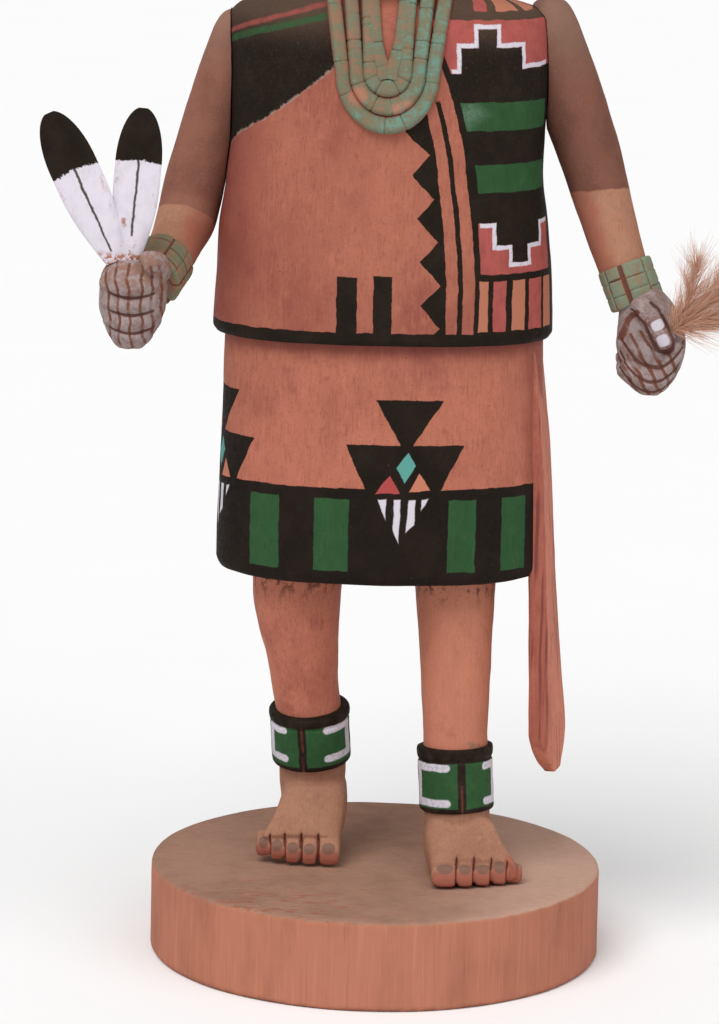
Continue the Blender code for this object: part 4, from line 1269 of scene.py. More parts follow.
def strand_path(number):
    """One strand's points on the chest: sideways and height, from the neck round and back up."""
    half_width = NECKLACE_HALF_WIDTH - number * STRAND_PITCH
    foot = NECKLACE_FOOT + number * STRAND_DROP
    depth = NECKLACE_BEND - foot
    side = []
    for step in (1.0, 0.72, 0.36):
        flare = NECKLACE_FLARE * step * half_width / NECKLACE_HALF_WIDTH
        side.append((half_width + flare, NECKLACE_BEND + (NECKLACE_TOP - NECKLACE_BEND) * step))
    for step in range(6):
        angle = math.pi / 2 * step / 6
        side.append((half_width * math.cos(angle), NECKLACE_BEND - depth * math.sin(angle)))
    return [(-x, height) for x, height in side] + [(0.0, foot)] + side[::-1]


def strand_skin(path, radius, seed):
    """A string of beads lying on the chest: a tube with a cut between each two beads."""
    draw = random.Random(seed)
    rows = []
    lowest = min(height for _, height in path)
    for x, height in path:
        low = max(0.0, 1 - (height - lowest) / 9.0) ** 1.5
        forward = tunic_front(x, height) - radius * 0.25
        rows.append((x, forward, height, radius * (0.95 + 0.28 * low), radius * 0.85))
    length = sum((Vector(a[:3]) - Vector(b[:3])).length for a, b in zip(rows, rows[1:]))
    cuts = [1.5]
    while cuts[-1] < length:
        cuts.append(cuts[-1] + draw.uniform(1.7, 4.4))
    depths = [draw.uniform(0.0, 0.2) for _ in cuts]

    def nearest(along):
        return min((abs(along - cut), depth) for cut, depth in zip(cuts, depths))

    def swell(turn, along):
        gap, depth = nearest(along)
        return -depth * math.exp(-((gap / 0.22) ** 2)) * np.ones_like(turn)

    net, marks = limb_net(rows, 24, 0.16, power=3.3, swell=swell)
    near = [nearest(along) for along in marks[:, 0, 1]]
    deep = np.array([math.exp(-((gap / 0.24) ** 2)) * min(1.0, depth / 0.16) for gap, depth in near])
    cut = np.repeat(deep[:, None], net.shape[1], axis=1)
    middle = net[:, :-1].mean(axis=1)[:, None, :]
    outward = -(net[:, :, 1] - middle[:, :, 1]) / (radius * 0.85)
    return wrapped(spots(net), marks, {"cut": cut, "side": np.clip(1.0 - outward / 0.72, 0.0, 1.0)})


def finger_rows(first, bend, last, radius):
    """A bent finger through three points, with rounded ends."""
    first, bend, last = Vector(first), Vector(bend), Vector(last)
    rows = [(*first, radius * 0.5, radius * 0.5)]
    for share in (0.06, 0.17, 0.28, 0.39, 0.5, 0.61, 0.72, 0.83, 0.94):
        point = first.lerp(bend, share).lerp(bend.lerp(last, share), share)
        rows.append((*point, radius, radius))
    rows.append((*last, radius * 0.5, radius * 0.5))
    return rows


def limb(rows, around=32, step=1.0):
    """A closed skin round a limb."""
    net, _ = limb_net(rows, around, step)
    return wrapped(spots(net))


def right_hand_parts():
    """Palm, four fingers one above the other, and the thumb over them."""
    parts = [limb(RIGHT_PALM)]
    for height, reach, radius in RIGHT_FINGERS:
        first = (-58.2 + reach, -29.5, height + 0.6)
        last = (-58.4 - reach, -31.0, height + 0.4)
        parts.append(limb(finger_rows(first, (-58.4, -41.6, height), last, radius), 20, 0.7))
    thumb = finger_rows((-52.2, -26.0, 147.6), (-51.2, -36.6, 153.6), (-56.2, -36.6, 151.6), 2.6)
    return parts + [limb(thumb, 20, 0.7)]


def left_hand_parts():
    """Palm, four fingers curled under, and the thumb across the front."""
    parts = [limb(LEFT_PALM)]
    for number, drop in enumerate((0.0, 1.0, 0.8, -0.6)):
        depth = -13.6 + number * 4.3
        first = (70.2, depth, 132.6 - drop)
        last = (57.2, depth, 127.4 - drop)
        parts.append(limb(finger_rows(first, (66.4, depth - 0.6, 116.4 - drop), last, 2.6), 20, 0.7))
    thumb = finger_rows((60.2, -11.6, 141.4), (63.6, -16.4, 138.6), (68.2, -15.8, 131.4), 2.7)
    return parts + [limb(thumb, 20, 0.7)]


def clear_of_tunic(bm, gap):
    """Presses a shape flat where it would go into the tunic's side."""
    rows = np.asarray(TUNIC)
    heights = rows[:, 0]
    co = np.array([vert.co for vert in bm.verts])
    z = (co[:, 2] - SOLE) / MM
    dense = eased_rows(rows, heights, np.clip(z, heights[0], heights[-1]))
    x = co[:, 0] / MM - FIGURE_X - dense[:, 3]
    y = co[:, 1] / MM
    size = np.abs(x / (dense[:, 1] + gap)) ** TUNIC_POWER + np.abs(y / (dense[:, 2] + gap)) ** TUNIC_POWER
    size = size ** (1 / TUNIC_POWER)
    for i, vert in enumerate(bm.verts):
        if size[i] < 1 and heights[0] < z[i] < heights[-1]:
            vert.co.x = (x[i] / size[i] + dense[i, 3] + FIGURE_X) * MM
            vert.co.y = y[i] / size[i] * MM


def wave_distance(value, lines):
    """How far a value is from the nearest line."""
    return min(abs(value - line) for line in lines)


def path_gap(spot, corners):
    """How far a point is from a path of straight stretches."""
    gaps = []
    for start, end in zip(corners, corners[1:]):
        way, off = Vector(end) - Vector(start), spot - Vector(start)
        gaps.append((off - way * clipped(off.dot(way) / way.length_squared)).length)
    return min(gaps)


def make_stage(context):
    """Floor, light and camera."""
    scene = context.scene
    scene.view_settings.view_transform = "Standard"
    scene.view_settings.look = "None"
    world_light = bpy.data.worlds.new("studio")
    world_light.use_nodes = True
    sky = world_light.node_tree.nodes["Background"]
    sky.inputs["Color"].default_value = (1, 1, 1, 1)
    sky.inputs["Strength"].default_value = SKY_STRENGTH
    scene.world = world_light

    bm = bmesh.new()
    bmesh.ops.create_grid(bm, x_segments=2, y_segments=2, size=9.0)
    mesh = as_mesh(bm, "floor")
    floor = bpy.data.objects.new("floor", mesh)
    scene.collection.objects.link(floor)
    f = Finish("floor_paper")
    f.colour = f.mix((0.95, 0.95, 0.95), (0.93, 0.93, 0.93), f.noise(60.0))
    mesh.materials.append(f.done(0.9, specular=0.05))

    for name, place, spread, strength in LIGHTS:
        light = bpy.data.lights.new(name, "SUN")
        light.angle = math.radians(spread)
        light.energy = strength
        lamp = bpy.data.objects.new(name, light)
        scene.collection.objects.link(lamp)
        away = Vector(place)
        lamp.matrix_world = Matrix.Translation(place) @ away.to_track_quat("Z", "Y").to_matrix().to_4x4()

    pan, pitch, roll = (math.radians(turn) for turn in (CAMERA_PAN, CAMERA_PITCH, CAMERA_ROLL))
    ahead = Vector((math.sin(pan) * math.cos(pitch), math.cos(pan) * math.cos(pitch), -math.sin(pitch)))
    right = Vector((math.cos(pan), -math.sin(pan), 0))
    above = right.cross(ahead)
    rolled_right = math.cos(roll) * right + math.sin(roll) * above
    rolled_above = math.cos(roll) * above - math.sin(roll) * right
    camera = bpy.data.objects.new("camera", bpy.data.cameras.new("camera"))
    scene.collection.objects.link(camera)
    matrix = Matrix((rolled_right, rolled_above, -ahead)).transposed().to_4x4()
    matrix.translation = Vector((0, -CAMERA_DISTANCE, CAMERA_HEIGHT))
    camera.matrix_world = matrix
    camera.data.sensor_fit = "VERTICAL"
    camera.data.sensor_height = SENSOR
    camera.data.sensor_width = SENSOR
    camera.data.lens = SENSOR * FOCAL_PIXELS / FRAME_PIXELS
    scene.camera = camera


def make_base(colours, shape):
    """The round slice, a little out of true, its edge rubbed."""
    radius = BASE_HIGH.x / MM
    thick = BASE_HIGH.z / MM
    rows = [(0.0, radius - 0.9), (0.3, radius - 0.35), (1.0, radius), (thick - 1.3, radius)]
    rows += [(thick - 0.75, radius - 0.12), (thick - 0.3, radius - 0.5), (thick, radius - 1.3)]
    rings = [(height, size, size, 0.0) for height, size in rows]
    net, _ = stacked_net(rings, 2.0, 260, 0.8)
    top = net[-1]
    inner = [top * np.array((share, share, 1)) for share in (0.94, 0.86, 0.76, 0.64, 0.5, 0.35, 0.18, 0.03)]
    net = np.concatenate((net, np.stack(inner)))
    bm = wrapped(net * MM)
    uneven(bm, 0.14 * MM, 14 * MM, 1)
    low = BASE_LOW.z
    for vert in bm.verts:
        vert.co.z = max(low, min(vert.co.z, BASE_HIGH.z))
    shown("base_slice", bm, base_finish(colours), ["base"])


def make_body(colours, shape):
    """The tunic and the kilt, each a skin of its own."""
    for name, rows, power, around, seed, finish in (
        ("tunic", TUNIC, TUNIC_POWER, 260, 2, tunic_finish),
        ("kilt", KILT, KILT_POWER, 250, 3, kilt_finish),
    ):
        net, marks = stacked_net(rows, power, around, shape.body_step / MM)
        bm = wrapped(spots(net), marks)
        uneven(bm, shape.knife, 13 * MM, seed)
        shown(name, bm, finish(colours), ["figure"], 40.0)


def make_legs(colours, shape):
    """Both bare legs, from the ankle bands up into the kilt."""
    parts = []
    for number, rows in enumerate((RIGHT_LEG, LEFT_LEG)):
        bm = limb([row for row in rows if row[2] > 22.0], 96, 0.9)
        uneven(bm, shape.knife, 8 * MM, 4 + number)
        parts.append(bm)
    shown("legs", joined_bm(parts), leg_finish(colours), ["figure"])


def foot_matrix(ankle_x, tip_y, lift):
    """Where a foot stands, its heel lifted about the toes' tips."""
    stand = Matrix.Translation((ankle_x, tip_y, 0)) @ Matrix.Rotation(math.radians(lift), 4, "X")
    return stand @ Matrix.Translation((0, TOE_TIP, 0))


def foot_net(rows, side, matrix, around):
    """A net round a form that points forward.

    Its rows are sideways, forward, height, half width, half height."""
    dense = np.asarray(rows, float)
    turn = np.linspace(-math.pi, math.pi, around + 1)
    wide, tall = rounded(turn, FOOT_POWER)
    net = np.zeros((len(dense), around + 1, 3))
    for i, (x, y, z, half_x, half_z) in enumerate(dense):
        for j in range(around + 1):
            net[i, j] = matrix @ Vector((side * x + half_x * wide[j], y, z + half_z * tall[j]))
    net[:, -1] = net[:, 0]
    return net


def toes_of(spread, slant, grown):
    """The toes of one foot: slant is how far the tips run back, grown how much wider the big toe is."""
    first, last = TOES[0][0], TOES[-1][0]
    toes = []
    for number, (x, half, tip, height) in enumerate(TOES):
        share = (x - first) / (last - first)
        if number == 0:
            half += grown / 2
        x = (x + grown * (1 - share)) * spread
        toes.append((x, half * spread, tip + slant * (share - 0.25), height))
    return toes


def foot_skins(side, matrix, spread, toes):
    """The skins that one foot is melted from: its body, then each toe."""
    forward = np.array([row[0] for row in FOOT][::-1])
    table = np.array(FOOT)[::-1]
    wanted = np.linspace(forward[0], forward[-1], 34)
    dense = eased_rows(table, forward, wanted)
    rows = [(shift * spread, y, top / 2, half * spread, top / 2) for y, half, shift, top in dense]
    skins = [wrapped(spots(foot_net(rows, side, matrix, 40)))]
    for x, half, tip, height in toes:
        rows = []
        length = TOE_ROOT - tip
        for share in np.linspace(0.0, 1.0, 19):
            plump = math.sqrt(max(0.12, 1 - max(0.0, (share - 0.78) / 0.22) ** 2.4))
            z = height / 2 * (0.36 + 0.7 * plump)
            wide = half * (0.62 + 0.52 * plump)
            rows.append((x, TOE_ROOT - share * length, z, wide, height / 2 * plump))
        skins.append(wrapped(spots(foot_net(rows, side, matrix, 24))))
    return skins


def make_feet(colours, shape):
    """Both feet, their toes cut apart and their nails marked for paint."""
    parts = []
    for number, (side, leg, ankle_x, tip_y, lift, form) in enumerate(STANDS):
        toes, spread = toes_of(*form), form[0]
        matrix = foot_matrix(ankle_x, tip_y, lift)
        skins = foot_skins(side, matrix, spread, toes)
        lower = [row for row in leg if row[2] < 34.0]
        x, y, height, half_x, half_y = lower[0]
        lower.insert(0, (x, y + 0.6, height - 5.0, half_x - 0.6, half_y - 1.4))
        skins.append(limb(lower, 40, 1.0))
        bm = melted(skins, shape.foot_step, 3)
        back = matrix.inverted()
        gaps = [(a[0] + a[1] + b[0] - b[1]) / 2 for a, b in zip(toes, toes[1:])]
        nail = bm.verts.layers.float.new("nail")
        front = bm.verts.layers.float.new("front")

        def slit(co):
            spot = back @ on_figure(co)
            if spot.y > TOE_ROOT - 1.6:
                return FAR
            return wave_distance(side * spot.x, gaps) + max(0.0, spot.y - TOE_ROOT + 4.4) * 0.5

        for vert in bm.verts:
            spot = back @ on_figure(vert.co)
            for x, half, tip, height in toes:
                wide = (side * spot.x - x) / (half * 0.7)
                long = math.hypot(spot.y - tip - NAIL_BACK, (spot.z - height * 0.96) * 1.1) / NAIL_LENGTH
                vert[nail] = max(vert[nail], clipped((1.2 - wide * wide - long * long) * 2.0))
                if abs(side * spot.x - x) < half + 0.4:
                    vert[front] = max(vert[front], clipped((tip + 1.3 - spot.y) * 0.8))
        engraved(bm, "cut", 0.3, 0.7, slit)
        uneven(bm, shape.knife * 0.7, 6 * MM, 6 + number)
        parts.append(bm)
    shown("feet", joined_bm(parts), foot_finish(colours), ["figure"])


def band_rows(low, high, profile):
    """A band's rows between its two ends, from the share of the way and the half widths there."""
    low, high = Vector(low), Vector(high)
    return [(*low.lerp(high, share), half_x, half_y) for share, half_x, half_y in profile]


def make_ankle_bands(colours, shape):
    """Both ankle bands, with a rolled rim and a slit down the stripe."""
    for name, (low, high, radius), stripe, left, right, bare_top, depth, levels, rim in ANKLE_PAINT:
        profile = []
        for share, out, roll in ANKLE_PROFILE:
            size = radius + out + roll * rim
            profile.append((share, size, size))

        def swell(turn, along, stripe=stripe, radius=radius, bare_top=bare_top, depth=depth):
            near = np.exp(-(((turn * radius - stripe) / 0.3) ** 2))
            return -depth * near * (1.0 if along < bare_top else 0.15)

        net, marks = limb_net(band_rows(low, high, profile), 220, 0.22, swell=swell)
        bm = wrapped(spots(net), marks)
        uneven(bm, shape.knife * 0.8, 6 * MM, 8)
        material = ankle_finish(name + "_paint", colours, stripe, left, right, bare_top, levels)
        shown(name, bm, material, ["figure"], 50.0)


def make_necklace(colours, shape):
    """The nested strands, and the two short ones that meet in the middle."""
    skins = []
    for number in range(STRANDS):
        skins.append(strand_skin(strand_path(number), STRAND_RADIUS, 20 + number))
    foot = NECKLACE_FOOT + STRANDS * STRAND_DROP
    for side in (-1, 1):
        path = [(side * (2.75 + 1.15 * share), foot + 5.0 + 12.4 * share) for share in (1.0, 0.6, 0.25)]
        path += [(side * 2.3, foot + 3.6), (side * 1.5, foot + 1.0), (side * 0.7, foot - 2.3)]
        skins.append(strand_skin(path, 1.6, 30 + side))
    shown("necklace", joined_bm(skins), bead_finish(colours), ["figure"])


def face_lines(co):
    """The mask's eye slits and mouth."""
    spot = on_figure(co)
    if spot.y > -8.0:
        return FAR
    x = abs(spot.x - HEAD_MIDDLE)
    eye = max(abs(x - EYE_APART) - EYE_HALF, 0.0) + abs(spot.z - EYE_HEIGHT)
    mouth = max(x - MOUTH_HALF, 0.0) + abs(spot.z - MOUTH_HEIGHT)
    return min(eye, mouth)


def make_mask(colours, shape):
    """The round case mask, its crown closed."""
    net, marks = stacked_net(MASK, HEAD_POWER, 200, 0.6)
    top = net[-1]
    middle = np.array((HEAD_MIDDLE, 0, 0))
    close = [(top - middle) * np.array((share, share, 1)) + middle + np.array((0, 0, rise))
             for share, rise in ((0.6, 0.35), (0.2, 0.5))]
    net = np.concatenate((net, np.stack(close)))
    marks = np.concatenate((marks, marks[-1:], marks[-1:]))
    bm = wrapped(spots(net), marks)
    engraved(bm, "cut", 0.75, 0.5, face_lines)
    uneven(bm, shape.knife, 9 * MM, 12)
    shown("mask", bm, mask_finish(colours), ["figure"])


def make_hair(colours, shape):
    """The cap of hair and its fall down the back, grooved into strands."""
    parts = []
    draw = random.Random(5)
    for rows, power, seed in ((HAIR_CAP, HEAD_POWER, 13), (HAIR_FALL, HAIR_POWER, 14)):
        net, marks = stacked_net(rows, power, 300, 1.0)
        width = marks[:, :, 0]
        waves = [draw.uniform(0, 6.28) for _ in range(3)]
        cut = np.zeros(width.shape)
        for rate, wave in zip((4.1, 6.3, 9.7), waves):
            cut += np.sin(width * rate / 1.6 + wave + 0.4 * np.sin(net[:, :, 2] * 0.21 + wave))
        cut = np.clip(0.5 + cut / 5, 0, 1)
        cut[:, -1] = cut[:, 0]
        bm = wrapped(spots(net), None, {"cut": cut})
        layer = bm.verts.layers.float["cut"]
        bm.normal_update()
        for vert in bm.verts:
            vert.co -= vert.normal * (0.28 * MM * vert[layer])
        uneven(bm, shape.knife, 7 * MM, seed)
        parts.append(bm)
    shown("hair", joined_bm(parts), hair_finish(colours), ["figure"])


def past_wrist(spot, band):
    """How far a point of the hand is beyond its wrist band, times the band's length."""
    low, high = (Vector(end) for end in band[:2])
    return (spot - high).dot(high - low)


def right_groove(co):
    """The grooves between the right hand's fingers."""
    spot = on_figure(co)
    if spot.y > -28.0 or past_wrist(spot, RIGHT_WRIST) < HAND_START:
        return FAR
    across = spot.x - RIGHT_KNUCKLES
    past = max(0.0, abs(across) - 5.2)
    return wave_distance(spot.z - 0.03 * across**2, RIGHT_GROOVES) + past * 0.5


def right_scratch(co):
    """The lines scratched down across the right hand's fingers."""
    spot = on_figure(co)
    if spot.y > -26.0 or past_wrist(spot, RIGHT_WRIST) < HAND_START:
        return FAR
    lean = (spot.z - 141.0) * 0.05
    wobble = noise.noise(Vector((spot.z * 0.3, 1.0, spot.x * 0.1))) * 0.7
    above = 1.2 if spot.z > 151.5 else 0.0
    return wave_distance(spot.x - RIGHT_KNUCKLES + lean + wobble, RIGHT_SCRATCHES) + above


def left_groove(co):
    """The groove round the left thumb and those between the fingers."""
    spot = on_figure(co)
    if spot.y > -10.0 or past_wrist(spot, LEFT_WRIST) < HAND_START:
        return FAR
    from_thumb = path_gap(spot.xz, LEFT_THUMB)
    around_thumb = abs(from_thumb - THUMB_HALF)
    if from_thumb < THUMB_HALF + 0.1:
        return around_thumb
    sag = 0.10 * (spot.x - 64.5) ** 2
    return min(around_thumb + max(0.0, spot.z - 138.5), wave_distance(spot.z - sag, LEFT_GROOVES))


def left_scratch(co):
    """The stroke on the left hand's back and the lines slanting across its fingers."""
    spot = on_figure(co)
    stroke = path_gap(spot.xz, LEFT_STROKE)
    if stroke < 1.1 and spot.y < -6.0:
        return max(0.0, stroke - 0.2)
    near_wrist = past_wrist(spot, LEFT_WRIST) < 60.0
    if near_wrist or spot.z > 135.0 or path_gap(spot.xz, LEFT_THUMB) < THUMB_HALF - 0.1:
        return FAR
    wobble = noise.noise(Vector((spot.z * 0.3, 4.0, spot.x * 0.1))) * 0.9
    return wave_distance(spot.x + 0.55 * (spot.z - 128.0) + wobble, LEFT_SCRATCHES)


def mark_thumb(bm):
    """Marks the left thumb for paint: brown, with its nail and its joint white."""
    cut = bm.verts.layers.float["cut"]
    nail = bm.verts.layers.float["nail"]
    for vert in bm.verts:
        spot = on_figure(vert.co)
        if spot.y >= -12.0:
            continue
        for middle_x, middle_z, half_across, half_along in THUMB_WHITES:
            wide, tall = spot.x - middle_x, spot.z - middle_z
            along = abs((wide * 0.44 - tall * 0.9) / half_along)
            across = abs((wide * 0.9 + tall * 0.44) / half_across)
            size = (along**3.5 + across**3.5) ** (1 / 3.5)
            vert[nail] = max(vert[nail], clipped(2.0 - 1.5 * size))
        if spot.z < 139.8:
            on_thumb = THUMB_HALF - path_gap(spot.xz, LEFT_THUMB)
            vert[cut] = max(vert[cut], min(0.53, on_thumb))


def make_arms(colours, shape):
    """Both arms, each with its hand and the lines cut in it."""
    # Paint's lower edge, how bare the hand's top is, seed, how light the brown is (lighter on the right
    # arm, darker on the left: painted light and shade), how bold the cuts are
    wanted = (
        ("right_arm", RIGHT_ARM, right_hand_parts, right_groove, right_scratch, RIGHT_WRIST,
         (164.3, -0.30, -0.68), 0.75, 15, 1.24, 1.0),
        ("left_arm", LEFT_ARM, left_hand_parts, left_groove, left_scratch, LEFT_WRIST,
         (183.5, 0.108, -0.1), 0.15, 16, 0.9, 1.45),
    )
    for node, rows, hand, groove, scratch, band, boundary, bare, seed, tone, bold in wanted:
        bm = melted([limb(rows, 48, 1.0)] + hand(), shape.hand_step, 7)
        clear_of_tunic(bm, 0.3)
        engraved(bm, "groove", 0.46 * bold, 0.4, groove)
        engraved(bm, "cut", 0.42 * bold, 0.12, scratch)
        bm.verts.layers.float.new("nail")
        if node == "left_arm":
            mark_thumb(bm)
        uneven(bm, shape.knife * 0.8, 7 * MM, seed)
        low, high = (Vector(end) for end in band[:2])
        middle = (low + high) / 2
        place = Vector((middle.x + FIGURE_X, middle.y, middle.z + SOLE / MM))
        along = (high - low).normalized()
        material = arm_finish(node + "_paint", colours, boundary, place, along, bare, tone)
        shown(node + "_carved", bm, material, [node])


def make_wrist_bands(colours, shape):
    """Both wrist bands, cut into an uneven grid with one bold column."""
    for name, node, (low, high, half_x, half_y), rounds, crosses, boldest, seed, paint, worn in WRIST_PAINT:
        length = (Vector(high) - Vector(low)).length
        draw = random.Random(seed)
        pitch = 2 * math.pi / crosses
        columns = [(k + draw.uniform(-0.22, 0.22)) * pitch - math.pi for k in range(crosses)]
        profile = [(share, half_x + out, half_y + out) for share, out in WRIST_PROFILE]
        bolds = [draw.uniform(0.35, 0.8) for _ in columns]
        middle = min(range(crosses), key=lambda k: abs(columns[k] - boldest))
        columns[middle], bolds[middle] = boldest, 1.25
        rings = [np.array([share * length + draw.uniform(-0.45, 0.45) for _ in range(crosses + 1)])
                 for share in rounds]
        faints = [np.array([draw.uniform(0.25, 1.0) for _ in range(crosses + 1)]) for _ in rounds]

        def cutting(turn, along):
            cell = np.searchsorted(columns, turn)
            found = np.zeros_like(turn)
            for ring, faint in zip(rings, faints):
                found = np.maximum(found, faint[cell] * np.exp(-(((along - ring[cell]) / 0.26) ** 2)))
            for column, bold in zip(columns, bolds):
                found = np.maximum(found, bold * np.exp(-(((turn - column) * 6.5 / (0.5 * bold)) ** 2)))
            return found

        def swell(turn, along):
            return -0.42 * cutting(turn, along)

        net, marks = limb_net(band_rows(low, high, profile), 210, 0.2, swell=swell)
        turn = np.linspace(-math.pi, math.pi, net.shape[1])
        cut = np.array([cutting(turn, along) for along in marks[:, 0, 1]])
        cut[:, -1] = cut[:, 0]
        bm = wrapped(spots(net), marks, {"cut": cut})
        uneven(bm, shape.knife * 0.8, 5 * MM, seed)
        shown(name, bm, wrist_finish(name + "_paint", colours, paint, worn), [node], 50.0)


def make_sash(colours, shape):
    """The flat sash end, thicker and wider at its rounded foot."""
    table = np.asarray(SASH_ROWS)
    foot = 1 - np.cos(np.linspace(0, math.pi / 2, 14)) * 0.10
    wanted = np.unique(np.concatenate((np.linspace(0.0, 0.9, 72), foot[::-1])))
    dense = eased_rows(table, table[:, 0], wanted)
    around = 120
    net = np.zeros((len(wanted), around + 1, 3))
    for i, (share, (_, outer, yaw)) in enumerate(zip(wanted, dense)):
        past = max(0.0, (share - 0.88) / 0.12)
        trim = 1 - math.sqrt(max(0.1, 1 - past**2.2))
        width = (SASH_WIDTH[0] + (SASH_WIDTH[1] - SASH_WIDTH[0]) * share) * (1 - trim)
        thick = SASH_THICKNESS[0] + (SASH_THICKNESS[1] - SASH_THICKNESS[0]) * share
        thick *= 1 - 0.5 * max(0.0, (share - 0.9) / 0.1) ** 1.4
        x, y, _ = round_outline(thick / 2, width / 2, 7.0, around)
        turn = math.radians(-yaw)
        x -= thick / 2
        net[i, :, 0] = outer + x * math.cos(turn) - y * math.sin(turn)
        net[i, :, 1] = 1.5 * (share - 1) + x * math.sin(turn) + y * math.cos(turn)
        net[i, :, 2] = SASH_TOP - SASH_LENGTH * share
    net[:, -1] = net[:, 0]
    bm = wrapped(spots(net))
    uneven(bm, shape.knife, 11 * MM, 19)
    shown("sash_board", bm, sash_finish(colours), ["sash"], 50.0)


def feather_half(share):
    """Half width of a carved feather along its length, as a share of the widest."""
    body = 0.44 + 0.56 * math.sin(math.pi / 2 * min(share / 0.5, 1.0))
    return body * math.sqrt(max(0.0, 1 - (max(share - 0.64, 0.0) / 0.36) ** 2))


def feather_skin(offset, lean, size):
    """One thin blade leaning from its root."""
    around = 64
    tip = 1 - 0.1 * np.cos(np.linspace(0.15, math.pi / 2 - 0.08, 16))
    shares = np.concatenate((np.linspace(0, 0.9, 60), tip))
    net = np.zeros((len(shares), around + 1, 3))
    marks = np.zeros((len(shares), around + 1, 2))
    lean = math.radians(lean)
    for i, share in enumerate(shares):
        half = max(FEATHER_HALF_WIDTH * size * feather_half(share), 0.25)
        thick = FEATHER_THICKNESS / 2 * (1 - 0.45 * share)
        x, y, _ = round_outline(half, thick, 2.0, around)
        along = FEATHER_LENGTH * size * share
        net[i, :, 0] = x * math.cos(lean) + along * math.sin(lean) + offset[0]
        net[i, :, 1] = y + offset[1]
        net[i, :, 2] = along * math.cos(lean) - x * math.sin(lean)
        bare = ROOT_MARKS * max(0.0, -lean) * (1 - share)
        marks[i] = np.stack((x, np.full(around + 1, along / size + bare)), axis=1)
    net += np.array(FEATHER_ROOT)
    net[:, -1] = net[:, 0]
    return wrapped(spots(net), marks)


def make_feathers(colours, shape):
    """Two blades and their stem, cut from one piece."""
    x, y, z = FEATHER_ROOT
    stem = [(x, y, z + height, half, FEATHER_THICKNESS * 0.55) for height, half in FEATHER_STEM]
    net, marks = limb_net(stem, 48, 0.6)
    marks[:, :, 1] += FEATHER_STEM[0][0]
    parts = [wrapped(spots(net), marks)] + [feather_skin(*blade) for blade in BLADES]
    whole = None
    for bm in parts:
        blade = bpy.data.objects.new("blade", as_mesh(bm, "blade"))
        bpy.context.scene.collection.objects.link(blade)
        if whole is None:
            whole = blade
            continue
        modifier = whole.modifiers.new("Join", "BOOLEAN")
        modifier.operation = "UNION"
        modifier.solver = "EXACT"
        modifier.object = blade
    graph = bpy.context.evaluated_depsgraph_get()
    bm = bmesh.new()
    bm.from_object(whole, graph)
    for blade in [part for part in bpy.data.objects if part.name.startswith("blade")]:
        bpy.data.objects.remove(blade)
    bmesh.ops.recalc_face_normals(bm, faces=bm.faces)
    shown("carved_feathers", bm, feather_finish(colours), ["feathers"], 50.0)


def barb_mesh():
    """A thin tapering three-sided barb, one unit long."""
    bm = bmesh.new()
    bmesh.ops.create_cone(bm, segments=3, radius1=1.0, radius2=0.25, depth=1.0, cap_ends=True)
    bmesh.ops.translate(bm, vec=(0, 0, 0.5), verts=bm.verts)
    for cut in range(1, 8):
        geometry = bm.verts[:] + bm.edges[:] + bm.faces[:]
        bmesh.ops.bisect_plane(bm, geom=geometry, plane_co=(0, 0, cut / 8), plane_no=(0, 0, 1))
    return as_mesh(bm, "barb")


